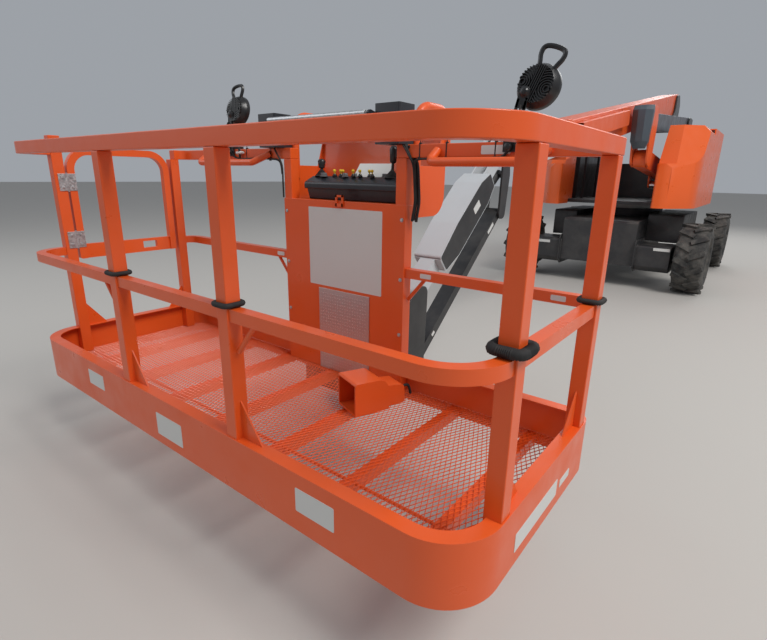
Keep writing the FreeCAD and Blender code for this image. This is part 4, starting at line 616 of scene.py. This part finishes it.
# %% Blank plates
STICKER_WHITE = moulded("sticker_white", (0.62, 0.62, 0.60), 0.38, 300)
PLATE_T, PLATE_CORNER = 0.0008, 0.004
RAIL, MID_RAIL = 0.050, 0.038
CONSOLE_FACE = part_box("console")[0].y
REAR_RAIL_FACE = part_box("top_rail")[1].y - RAIL
REAR_MID_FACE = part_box("mid_rails")[1].y - MID_RAIL
AXLE_FACE = 1.3552
PLATES = [
    # name, body, the axis that it faces along, its surface, two corners across that axis
    ("console_sign", "platform", "Y", CONSOLE_FACE, (-0.074, 0.823), (0.366, 1.188)),
    ("toe_plate_left", "platform", "Y", TRAY_LOW.y, (-0.600, 0.430), (-0.458, 0.497)),
    ("toe_plate_middle", "platform", "Y", TRAY_LOW.y, (-0.025, 0.387), (0.146, 0.476)),
    ("toe_plate_right", "platform", "Y", TRAY_LOW.y, (0.737, 0.418), (0.886, 0.494)),
    ("end_plate_long", "platform", "X", TRAY_HIGH.x, (-4.280, 0.392), (-3.966, 0.450)),
    ("end_plate_short", "platform", "X", TRAY_HIGH.x, (-3.940, 0.402), (-3.850, 0.430)),
    ("rail_sticker_left", "platform", "Y", REAR_MID_FACE, (-0.322, 0.932), (-0.270, 0.951)),
    ("rail_sticker_middle", "platform", "Y", REAR_MID_FACE, (0.560, 0.932), (0.612, 0.951)),
    ("rail_sticker_right", "platform", "Y", REAR_MID_FACE, (1.100, 0.932), (1.152, 0.951)),
    ("rail_plate", "platform", "Y", REAR_RAIL_FACE, (0.800, 1.410), (0.910, 1.440)),
    ("axle_label_left", "chassis", "Y", AXLE_FACE, (-0.840, 0.482), (-0.665, 0.518)),
    ("axle_label_right", "chassis", "Y", AXLE_FACE, (0.600, 0.500), (0.780, 0.534)),
]


def plate_form(low, high, axis, segments=4):
    """A thin box with rounded corners, as seen along an axis."""
    bm = bmesh.new()
    add_box(bm, low, high)
    along = "XYZ".index(axis)
    across = [e for e in bm.edges if abs((e.verts[1].co - e.verts[0].co).normalized()[along]) > 0.9]
    bmesh.ops.bevel(bm, geom=across, offset=PLATE_CORNER, segments=segments, profile=0.5, material=-1,
                    affect="EDGES")
    return bm


def blank_plate(name, body, bm):
    finish_mesh(name, bm, STICKER_WHITE, body)


for name, body, axis, face, low, high in PLATES:
    if axis == "X":
        corners = (face, *low), (face + PLATE_T, *high)
    else:
        corners = (low[0], face - PLATE_T, low[1]), (high[0], face, high[1])
    blank_plate(name, body, plate_form(*corners, axis))
print("blank plates", len(PLATES))

# %% [markdown]
# Two joysticks stand in the control box, a short one at the left and a tall one at the right. Each is a
# grip on a thin stem in a folded rubber boot. All of that is round about the stick's own axis, so boot and
# grip are turned shapes, spun about an axis that leans.

# %% Joysticks
BOX_LOW, BOX_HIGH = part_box("control_box")
STICKS = [
    # distance from the box's left end and front, lean to the right and back, height
    (0.040, 0.075, -0.06, 0.10, 0.075),
    (0.465, 0.070, 0.04, 0.05, 0.125),
]
BOOT_FOLDS, FOLD_PITCH, FOLD_TAPER, FOLD_DEPTH = 6, 0.0045, 0.0035, 0.004
STEM_R = 0.006
GRIP = [(0.45, STEM_R), (0.5, 0.014), (0.7, 0.016), (0.9, 0.019), (1, 0.014)]


def joysticks():
    grips, boots = bmesh.new(), bmesh.new()
    for x, y, lean_x, lean_y, height in STICKS:
        base = Vector((BOX_LOW.x + x, BOX_LOW.y + y, BOX_HIGH.z))
        along = Vector((lean_x, lean_y, 1)).normalized()
        rows = [(-0.004, 0.032)]
        for i in range(BOOT_FOLDS):
            up, wide = 0.002 + i * FOLD_PITCH, 0.030 - i * FOLD_TAPER
            rows += [(up, wide), (up + 0.002, wide - FOLD_DEPTH)]
        add_turned(boots, base, along, rows + [(0.032, 0.007)], 20)
        grip = [(height * share, radius) for share, radius in GRIP]
        add_turned(grips, base, along, [(0.028, STEM_R), *grip, (height + 0.003, 0.005)], 20)
    finish_mesh("joysticks", grips, LAMP_PLASTIC, "platform", 50)
    finish_mesh("joystick_boots", boots, HOSE_RUBBER, "platform", 50)


joysticks()
print("joysticks", len(STICKS))

# %% [markdown]
# Between the joysticks stand toggle switches with small round yellow tips, and a few grey knobs. They
# aren't evenly spaced, so their places are listed. Bases, tips and knobs are three pieces, because each
# kind has its own finish.

# %% Switches and knobs
SWITCH_YELLOW = moulded("switch_yellow", (0.75, 0.50, 0.03), 0.4, 500)
DIAL_GREY = moulded("dial_grey", (0.12, 0.12, 0.125), 0.45, 500)
SWITCHES = [(0.118, 0.085), (0.148, 0.110), (0.140, 0.060), (0.178, 0.062), (0.262, 0.052), (0.300, 0.055),
            (0.338, 0.075), (0.372, 0.052)]
SWITCH_LEAN = (0.05, -0.2, 1)
SWITCH_BASE = [(0, 0.011), (0.006, 0.011), (0.008, 0.008), (0.014, 0.006)]
SWITCH_TIP = [(0, 0.0030), (0.008, 0.0030), (0.010, 0.0058), (0.014, 0.0072), (0.018, 0.0066), (0.021, 0.0030)]
KNOBS = [(0.085, 0.045, 0.015), (0.215, 0.050, 0.012), (0.235, 0.095, 0.010), (0.405, 0.100, 0.013)]
KNOB = [(0, 1.25), (0.004, 1.25), (0.005, 1), (0.014, 1), (0.017, 0.8)]
SUNK = 0.002


def box_top(x, y):
    """A place on the control box, a little under its top so that nothing floats."""
    return Vector((BOX_LOW.x + x, BOX_LOW.y + y, BOX_HIGH.z - SUNK))


def switches():
    bases, tips, knobs = bmesh.new(), bmesh.new(), bmesh.new()
    for x, y in SWITCHES:
        add_turned(bases, box_top(x, y), (0, 0, 1), SWITCH_BASE, 16)
        add_turned(tips, box_top(x, y) + Vector((0, 0, 0.012)), SWITCH_LEAN, SWITCH_TIP, 14)
    for x, y, radius in KNOBS:
        profile = [(up, radius * share) for up, share in KNOB]
        add_turned(knobs, box_top(x, y), (0, 0, 1), profile, 20)
    for name, bm, material in (("switch_bases", bases, LAMP_PLASTIC), ("switch_tips", tips, SWITCH_YELLOW),
                               ("knobs", knobs, DIAL_GREY)):
        finish_mesh(name, bm, material, "platform", 40)


switches()
print("switches", len(SWITCHES), "knobs", len(KNOBS))

# %% [markdown]
# A pale blank plate leans back behind the switches, and a small square loop stands at the console panel's
# top edge. Both are plain blocks: one that leans, and four that frame the loop's hole.


# %% The leaning plate and the console's loop
PLATE_LEAN = -38


def leaning_plate():
    bm = bmesh.new()
    middle = Vector((BOX_LOW.x + 0.315, BOX_LOW.y + 0.130, BOX_HIGH.z + 0.028))
    half = Vector((0.098, 0.002, 0.037))
    add_box(bm, middle - half, middle + half, Matrix.Rotation(math.radians(PLATE_LEAN), 3, "X"))
    finish_mesh("control_plate", bm, STICKER_WHITE, "platform")


def lifting_tab():
    bm = bmesh.new()
    low, high, bar = Vector((0.104, CONSOLE_FACE - 0.007, 1.196)), Vector((0.149, CONSOLE_FACE, 1.246)), 0.009
    for x0, z0, x1, z1 in ((low.x, low.z, low.x + bar, high.z), (high.x - bar, low.z, high.x, high.z),
                           (low.x, high.z - bar, high.x, high.z), (low.x, low.z, high.x, low.z + bar * 1.6)):
        add_box(bm, (x0, low.y, z0), (x1, high.y, z1))
    finish_mesh("lifting_tab", bm, ORANGE, "platform")


leaning_plate()
lifting_tab()
print("plate and loop done")

# %% [markdown]
# Thin black cables run from the sensor boxes and the lamps along the rear top rail and down the console's
# posts. They are tied along their length, so none hangs free. Each is listed by a few points near which it
# runs, and a curve smooths them. The loom at the right is one such run three times over, side by side.

# %% Cables
RAIL_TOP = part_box("top_rail")[1].z
LOOM = [(0.476, 0.0017, 0.002), (0.488, -0.0083, -0.030), (0.504, -0.0203, -0.062), (0.507, -0.0233, -0.110),
        (0.511, -0.0233, -0.160), (0.516, -0.0233, -0.215), (0.505, -0.0263, -0.260), (0.500, -0.0283, -0.290)]
CABLES = [
    # name, radius, points: x, how far in front of the rail's face, how far above its top
    ("loom_right_main", 0.0075, LOOM),
    ("loom_right_second", 0.006, [(x + 0.013, out - 0.004, up - 0.006) for x, out, up in LOOM]),
    ("loom_right_third", 0.005, [(x + 0.004, out + 0.012, up - 0.003) for x, out, up in LOOM]),
    ("cable_right_thin", 0.0035, [
        (0.47, 0.0177, 0.002), (0.486, 0.0157, -0.02), (0.5, 0.0117, -0.045), (0.508, 0.0017, -0.065),
        (0.507, -0.0123, -0.09), (0.509, -0.0163, -0.13)]),
    ("cable_right_guard", 0.004, [
        (0.905, 0.0057, -0.054), (0.786, 0.0047, -0.054), (0.675, 0.0047, -0.054), (0.6, 0.0057, -0.054),
        (0.545, 0.0057, -0.054), (0.516, 0.0017, -0.062), (0.512, -0.0143, -0.09),
        (0.513, -0.0163, -0.14)]),
    ("cable_right_lamp", 0.0045, [
        (0.935, 0.0117, 0.11), (0.945, 0.0237, 0.05), (0.928, 0.0157, 0.012), (0.915, 0.0097, -0.01),
        (0.9, 0.0077, -0.034), (0.886, 0.0057, -0.05), (0.85, 0.0057, -0.054), (0.786, 0.0047, -0.054)]),
    ("cable_left", 0.004, [
        (-0.285, 0.0177, 0.002), (-0.272, 0.0147, -0.025), (-0.256, 0.0097, -0.05), (-0.247, 0.0037, -0.08),
        (-0.246, 0.0037, -0.12), (-0.247, 0.0037, -0.17), (-0.248, 0.0017, -0.228)]),
    ("cable_left_lamp", 0.0045, [
        (-0.64, 0.0117, 0.13), (-0.662, 0.0277, 0.08), (-0.661, 0.0137, 0.038), (-0.652, 0.0107, 0.012),
        (-0.637, 0.0097, -0.014), (-0.614, 0.0087, -0.038), (-0.573, 0.0077, -0.048),
        (-0.519, 0.0067, -0.048), (-0.423, 0.0067, -0.046), (-0.33, 0.0067, -0.05),
        (-0.268, 0.0067, -0.052), (-0.25, 0.0057, -0.078), (-0.249, 0.0047, -0.12)]),
    ("lamp_tail_left", 0.0055, [
        (-0.61, 0.0157, 0.002), (-0.59, 0.0167, 0.02), (-0.567, 0.0157, 0.016), (-0.56, 0.0137, -0.005),
        (-0.561, 0.0117, -0.03), (-0.566, 0.0097, -0.046)]),
]
SWITCH_LOW, SWITCH_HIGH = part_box("foot_switch")
SWITCH_CORNER = Vector((SWITCH_HIGH.x, SWITCH_HIGH.y, SWITCH_LOW.z))
FOOT_CABLE = [(-0.03225, -0.02725, 0.0547), (-0.01725, 0.00275, 0.0697), (-0.01225, 0.01775, 0.0397),
              (-0.01425, 0.02575, 0.0147)]


def at_rail(x, out, up):
    """A place given from the rear top rail's front face and top edge."""
    return Vector((x, REAR_RAIL_FACE - out, RAIL_TOP + up))


def cable(name, radius, points):
    bm = bmesh.new()
    add_tube(bm, points, radius)
    finish_mesh(name, bm, HOSE_RUBBER, "platform", 60)


for name, radius, points in CABLES:
    cable(name, radius, [at_rail(*point) for point in points])
cable("foot_switch_cable", 0.006, [SWITCH_CORNER + Vector(point) for point in FOOT_CABLE])
print("cables", len(CABLES) + 1)

# %% [markdown]
# Nylon ties hold the cables to the rear top rail. Each is a flat band round the rail and its cables, with
# a square head and a cut tail. A pale turned sleeve covers the left lamp's plug.

# %% Cable ties and the plug's sleeve
TIES = (-0.520, -0.330, 0.5405, 0.658, 0.8535)
TIE_W, TIE_T = 0.0046, 0.0014
TIE_HEAD_W, TIE_HEAD_H, TIE_TAIL = 0.009, 0.0055, 0.016
SLEEVE_PROFILE = [(0, 0.004), (0.003, 0.0075), (0.038, 0.0078), (0.041, 0.0060), (0.052, 0.0066),
                  (0.060, 0.0045)]
CABLE_OUT, CABLE_BELOW, CABLE_ABOVE = 0.0115, 0.0080, 0.0025


def rail_ties():
    bm = bmesh.new()
    for x in TIES:
        left, right = x - TIE_W / 2, x + TIE_W / 2
        add_box(bm, at_rail(left, TIE_T, -RAIL - TIE_T), at_rail(right, -RAIL - TIE_T, TIE_T))
        add_box(bm, at_rail(x - TIE_HEAD_W / 2, 0, 0), at_rail(x + TIE_HEAD_W / 2, -TIE_HEAD_W, TIE_HEAD_H))
        add_box(bm, at_rail(left, -0.003, 0), at_rail(right, -0.0045, TIE_TAIL))
        add_box(bm, at_rail(left, CABLE_OUT, -RAIL - CABLE_BELOW), at_rail(right, 0, CABLE_ABOVE - RAIL))
    round_edges(finish_mesh("rail_ties", bm, LAMP_PLASTIC, "platform"), 0.0004, 1)


def plug_sleeve():
    bm = bmesh.new()
    add_turned(bm, at_rail(-0.588, 0.0117, -0.019), (1, 0, 0.02), SLEEVE_PROFILE, 20)
    finish_mesh("plug_sleeve", bm, STICKER_WHITE, "platform")


rail_ties()
plug_sleeve()
print("ties", len(TIES))

# %% [markdown]
# The jib and the bar under it carry small blank labels along their slope. They are plates again, made about
# the origin and then turned and moved onto the arm's side.

# %% The arms' labels
JIB_SLOPE = math.radians(40.7)
ARM_LABELS = [
    # name, node that it lies on, middle (y, z), length and height
    ("jib_label", "jib_arm", (-2.440, 1.146), (0.085, 0.048)),
    ("link_label", "jib_link", (-2.130, 0.986), (0.095, 0.026)),
    ("link_label_low", "jib_link", (-2.830, 0.384), (0.034, 0.022)),
]
for name, node, (y, z), (length, height) in ARM_LABELS:
    half = Vector((PLATE_T / 2, length / 2, height / 2))
    bm = plate_form(-half, half, "X", segments=3)
    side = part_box(node)[1].x + PLATE_T / 2
    bm.transform(Matrix.Translation((side, y, z)) @ Matrix.Rotation(JIB_SLOPE, 4, "X"))
    blank_plate(name, BODY_OF[node], bm)
print("arm labels", len(ARM_LABELS))

# %% [markdown]
# Two round work lamps stand on the rear top rail and face away from the platform, so their cast backs show:
# two lobes of ring-shaped cooling fins beside a band of straight ribs. Each ring is a small section spun
# round its lobe's middle, and planes round the edge cut the whole set to the lamp's disc.

# %% A lamp's fins
LAMP_R, LAMP_BACK = 0.072, -0.018
LAMP_BODY = [(0, 0.058), (0.004, 0.061), (0.016, 0.068), (0.022, 0.071), (0.026, LAMP_R), (0.040, LAMP_R),
             (0.043, 0.070), (0.043, 0.066), (0.041, 0.065)]
FIN_T, FIN_H, FIN_PITCH, FIN_RINGS = 0.0030, 0.008, 0.0076, 13
LOBE_X, LOBE_Z, BAND = 0.044, -0.006, 0.0155
BAND_RIBS = (-0.0110, -0.0037, 0.0037, 0.0110)


def lamp_lobe():
    """Ring-shaped fins round the Y axis."""
    lobe = bmesh.new()
    for i in range(1, FIN_RINGS):
        inner, outer = i * FIN_PITCH, i * FIN_PITCH + FIN_T
        corners = [lobe.verts.new(spot) for spot in ((inner, 0, 0), (outer, 0, 0), (outer, -FIN_H, 0),
                                                     (inner, -FIN_H, 0))]
        section = [lobe.edges.new(pair) for pair in zip(corners, corners[1:] + corners[:1])]
        bmesh.ops.spin(lobe, geom=corners + section, cent=(0, 0, 0), axis=(0, 1, 0), angle=2 * math.pi,
                       steps=36, use_merge=True)
    return lobe


def lamp_fins():
    """The fins on a lamp's back, with the lamp's axis along Y."""
    fins = bmesh.new()
    for side in (-1, 1):
        lobe = lamp_lobe()
        lobe.transform(Matrix.Translation((side * LOBE_X, 0, LOBE_Z)))
        trim(lobe, [((side * BAND, 0, 0), (-side, 0, 0))])
        add_shape(fins, lobe)
    for x in BAND_RIBS:
        add_box(fins, (x - FIN_T / 2, -FIN_H, -LAMP_R), (x + FIN_T / 2, 0, LAMP_R))
    edge = [Vector((math.cos(math.radians(a)), 0, math.sin(math.radians(a)))) for a in range(0, 360, 15)]
    trim(fins, [(outwards * LAMP_BODY[0][1], outwards) for outwards in edge])
    bmesh.ops.holes_fill(fins, edges=fins.edges[:], sides=0)
    bmesh.ops.recalc_face_normals(fins, faces=fins.faces)
    return fins


# %% [markdown]
# A lamp is a bowl with fins behind, a lens with six small cups in front and a bent handle above, on a yoke
# that comes down to a clamp over the rail. Head and lens are made about the origin with the beam along Y,
# and then nodded down, rolled and moved. The yoke stays upright, so it is placed by itself.

# %% Work lamps
LAMPS = [
    # middle's x and height above the rail, roll to the right in degrees, the foot's x from the middle
    (-0.607, 0.188, -7, -0.034),
    (0.972, 0.169, 20, -0.064),
]
LAMP_NOD = 11
HANDLE_R, HALF_HANDLE = 0.0080, [(0.027, 0, 0.060), (0.031, 0, 0.072), (0.040, 0, 0.090), (0.040, 0, 0.112),
                                 (0.022, 0, 0.121)]
HUB = [(0, 0.018), (0.007, 0.018), (0.009, 0.014), (0.015, 0.010), (0.016, 0.007)]
CLAMP_SCREW = [(0, 0.006), (0.008, 0.006), (0.008, 0.013), (0.020, 0.012), (0.022, 0.008)]
LENS = moulded("lamp_lens", (0.62, 0.64, 0.66), 0.10, 160)
LENS_RIM = [(0, 0.064), (0.0022, 0.064), (0.0030, 0.060)]
CUPS, CUP_OUT, CUP = 6, 0.036, [(0, 0.014), (0.003, 0.012), (0.0048, 0.006)]


def lamp_head():
    """A lamp's body, fins and handle."""
    head = bmesh.new()
    add_turned(head, (0, LAMP_BACK, 0), (0, 1, 0), LAMP_BODY, 48)
    add_shape(head, lamp_fins(), Matrix.Translation((0, LAMP_BACK, 0)))
    add_tube(head, [(-x, y, z) for x, y, z in HALF_HANDLE] + HALF_HANDLE[::-1], HANDLE_R)
    return head


def lamp_lens():
    """The lens, with its small cups."""
    lens = bmesh.new()
    front = Vector((0, LAMP_BACK + LAMP_BODY[-1][0] - 0.001, 0))
    add_turned(lens, front, (0, 1, 0), LENS_RIM, 48)
    for i in range(CUPS):
        angle = 2 * math.pi * i / CUPS
        cup = front + Vector((math.cos(angle) * CUP_OUT, 0.0028, math.sin(angle) * CUP_OUT))
        add_turned(lens, cup, (0, 1, 0), CUP, 16)
    return lens


def lamp_foot(bm, middle, foot):
    """The yoke behind the fins, down to a clamp over the rail."""
    base = Vector((middle.x + foot, middle.y, RAIL_TOP))
    hub = middle + Vector((foot * 0.42, LAMP_BACK - FIN_H - 0.006, -0.020))
    down = base - hub
    down.y = 0
    turn = Matrix.Rotation(math.atan2(-down.x, -down.z), 3, "Y")
    add_turned(bm, hub + Vector((0, 0.003, 0)), (0, -1, 0), HUB, 20)
    legs = [(hub + down * 0.56 + Vector((side * 0.014, 0, 0)), Vector((0.005, 0.003, down.length * 0.44)))
            for side in (-1, 1)]
    for place, half in [*legs, (hub + down * 0.16, Vector((0.019, 0.003, 0.026)))]:
        add_box(bm, place - half, place + half, turn)
    add_box(bm, base + Vector((-0.027, -0.034, 0.0004)), base + Vector((0.027, 0.029, 0.014)))
    for near, far in ((-0.034, -0.0256), (0.0256, 0.031)):
        add_box(bm, base + Vector((-0.024, near, -0.034)), base + Vector((0.024, far, 0.010)))
    add_turned(bm, base + Vector((0, -0.034, -0.018)), (0, -1, 0), CLAMP_SCREW, 12)


def work_lamps():
    """Both lamps, with their lenses on the far side."""
    bodies, feet, lenses = bmesh.new(), bmesh.new(), bmesh.new()
    for x, up, roll, foot in LAMPS:
        middle = at_rail(x, -RAIL / 2, up)
        place = (Matrix.Translation(middle) @ Matrix.Rotation(-math.radians(LAMP_NOD), 4, "X")
                 @ Matrix.Rotation(math.radians(roll), 4, "Y"))
        add_shape(bodies, lamp_head(), place)
        lamp_foot(feet, middle, foot)
        add_shape(lenses, lamp_lens(), place)
    for name, bm, material in (("work_lamps", bodies, LAMP_PLASTIC), ("lamp_feet", feet, LAMP_PLASTIC),
                               ("lamp_lenses", lenses, LENS)):
        piece = finish_mesh(name, bm, material, "platform", 35)
        if material is not LENS:
            round_edges(piece, 0.0007, 1)
        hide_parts("work_lamps")


work_lamps()
print("lamps", len(LAMPS))

# %% [markdown]
# Six bolts hold the console's panel, and each of the gate's two hinges has a leaf on the post and another
# on the gate, with two bolts in each. A bolt is two turned shapes: a washer spun in many steps, and a
# hexagon head spun in only six.

# %% Bolts and hinge leaves
WASHER_T = 0.0016
CONSOLE_BOLTS = [Vector((x, CONSOLE_FACE, z)) for x in (-0.226, 0.467) for z in (1.160, 0.912, 0.669)]
HINGE_LOW, HINGE_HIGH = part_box("gate_hinges")
LEAF_T, LEAF_H = 0.003, 0.090
POST_IN, POST_HALF = 0.0293, 0.0253
LEAVES = [
    # what it lies on, its surface's x, from and to along y, body
    ("post", TRAY_LOW.x + POST_IN + POST_HALF, (-0.042, -0.004), "platform"),
    ("gate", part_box("gate")[1].x, (0.003, 0.040), "gate"),
]


def bolt_heads(name, rows, body, radius):
    """Hexagon heads on washers: each row is a place and the way that the head faces."""
    bm = bmesh.new()
    head = [(0, radius), (radius * 0.62, radius), (radius * 0.75, radius * 0.85)]
    for spot, way in rows:
        add_turned(bm, spot, way, [(0, radius * 1.5), (WASHER_T, radius * 1.5)], 20)
        add_turned(bm, spot + Vector(way) * WASHER_T, way, head, 6)
    finish_mesh(name, bm, ZINC, body, 25)


bolt_heads("console_bolts", [(spot, (0, -1, 0)) for spot in CONSOLE_BOLTS], "platform", 0.0055)
for place, face, (near, far), body in LEAVES:
    bm, heads = bmesh.new(), []
    for z in (HINGE_LOW.z, HINGE_HIGH.z - LEAF_H):
        y = HINGE_LOW.y + 0.006
        add_box(bm, (face, y + near, z + 0.004), (face + LEAF_T, y + far, z + LEAF_H - 0.004))
        heads += [(Vector((face + LEAF_T, y + (near + far) / 2, z + up)), (1, 0, 0)) for up in (0.022, 0.068)]
    round_edges(finish_mesh("hinge_leaf_" + place, bm, ZINC, body), 0.001)
    bolt_heads("hinge_bolts_" + place, heads, body, 0.006)
print("bolts", len(CONSOLE_BOLTS), "and four to each side of the gate's hinges")

# %% [markdown]
# Small triangular gussets brace the feet of six posts on the toe board's edge. Each starts as one triangle,
# and the solidify operator gives it the plate's thickness.

# %% Post gussets
GUSSET_T, GUSSET_W, GUSSET_H = 0.005, 0.095, 0.125
LEFT_X, RIGHT_X, FRONT_Y = TRAY_LOW.x + POST_IN, TRAY_HIGH.x - POST_IN, TRAY_LOW.y + POST_IN
GUSSETS = [
    # post's middle (x, y), the way along which the gusset stands
    (-0.240, FRONT_Y, (1, 0)), (0.445, FRONT_Y, (1, 0)),
    (RIGHT_X, -4.349, (0, 1)), (RIGHT_X, -3.749, (0, -1)),
    (LEFT_X, -4.349, (0, 1)), (LEFT_X, -3.749, (0, -1)),
]


def gussets():
    bm = bmesh.new()
    for x, y, (wx, wy) in GUSSETS:
        way, side = Vector((wx, wy, 0)), Vector((-wy, wx, 0))
        foot = Vector((x, y, TRAY_HIGH.z)) + way * POST_HALF - side * GUSSET_T / 2
        corners = (foot, foot + way * GUSSET_W, foot + Vector((0, 0, GUSSET_H)))
        bm.faces.new([bm.verts.new(corner) for corner in corners])
    bm.normal_update()
    bmesh.ops.solidify(bm, geom=bm.faces[:], thickness=GUSSET_T)
    bmesh.ops.recalc_face_normals(bm, faces=bm.faces)
    finish_mesh("post_gussets", bm, ORANGE, "platform")


gussets()
print("gussets", len(GUSSETS))

# %% [markdown]
# The machine stands on a plain floor. A large key light from the front right shows the platform's sides, a
# cool fill keeps the shaded faces readable, and a light behind draws the rails' edges. They are just bright
# enough that a colour renders about as it is written.

# %% Floor and lights
FLOOR_HALF = 60
LIGHTS = [
    # name, place, target, size, power, colour
    ("key_light", (7.0, -4.0, 9.0), (0, -1.0, 0.8), 4.5, 900, (1.0, 0.98, 0.95)),
    ("fill_light", (-6.5, -8.0, 5.5), (0, -1.0, 0.8), 6.0, 170, (0.94, 0.97, 1.0)),
    ("back_light", (1.0, 9.0, 7.0), (0, 0.0, 1.0), 6.0, 330, (1, 1, 1)),
]
SKY, SKY_STRENGTH = (0.80, 0.85, 0.92, 1), 0.42


def add_floor():
    bm = bmesh.new()
    bmesh.ops.create_grid(bm, x_segments=1, y_segments=1, size=FLOOR_HALF)
    mesh = bpy.data.meshes.new("studio_floor")
    bm.to_mesh(mesh)
    bm.free()
    mesh.materials.append(Finish("studio_floor", (0.50, 0.48, 0.45), 0.9).material)
    floor = bpy.data.objects.new("studio_floor", mesh)
    bpy.context.scene.collection.objects.link(floor)


def add_light(name, place, target, size, power, colour):
    data = bpy.data.lights.new(name, "AREA")
    data.size = size
    data.energy = power
    data.color = colour
    light = bpy.data.objects.new(name, data)
    light.location = place
    light.rotation_mode = "QUATERNION"
    light.rotation_quaternion = (Vector(target) - Vector(place)).to_track_quat("-Z", "Y")
    bpy.context.scene.collection.objects.link(light)


def add_sky():
    world = bpy.data.worlds.new("studio_sky")
    bpy.context.scene.world = world
    world.use_nodes = True
    background = world.node_tree.nodes["Background"]
    background.inputs["Color"].default_value = SKY
    background.inputs["Strength"].default_value = SKY_STRENGTH


add_floor()
for row in LIGHTS:
    add_light(*row)
add_sky()
print("lights", len(LIGHTS))
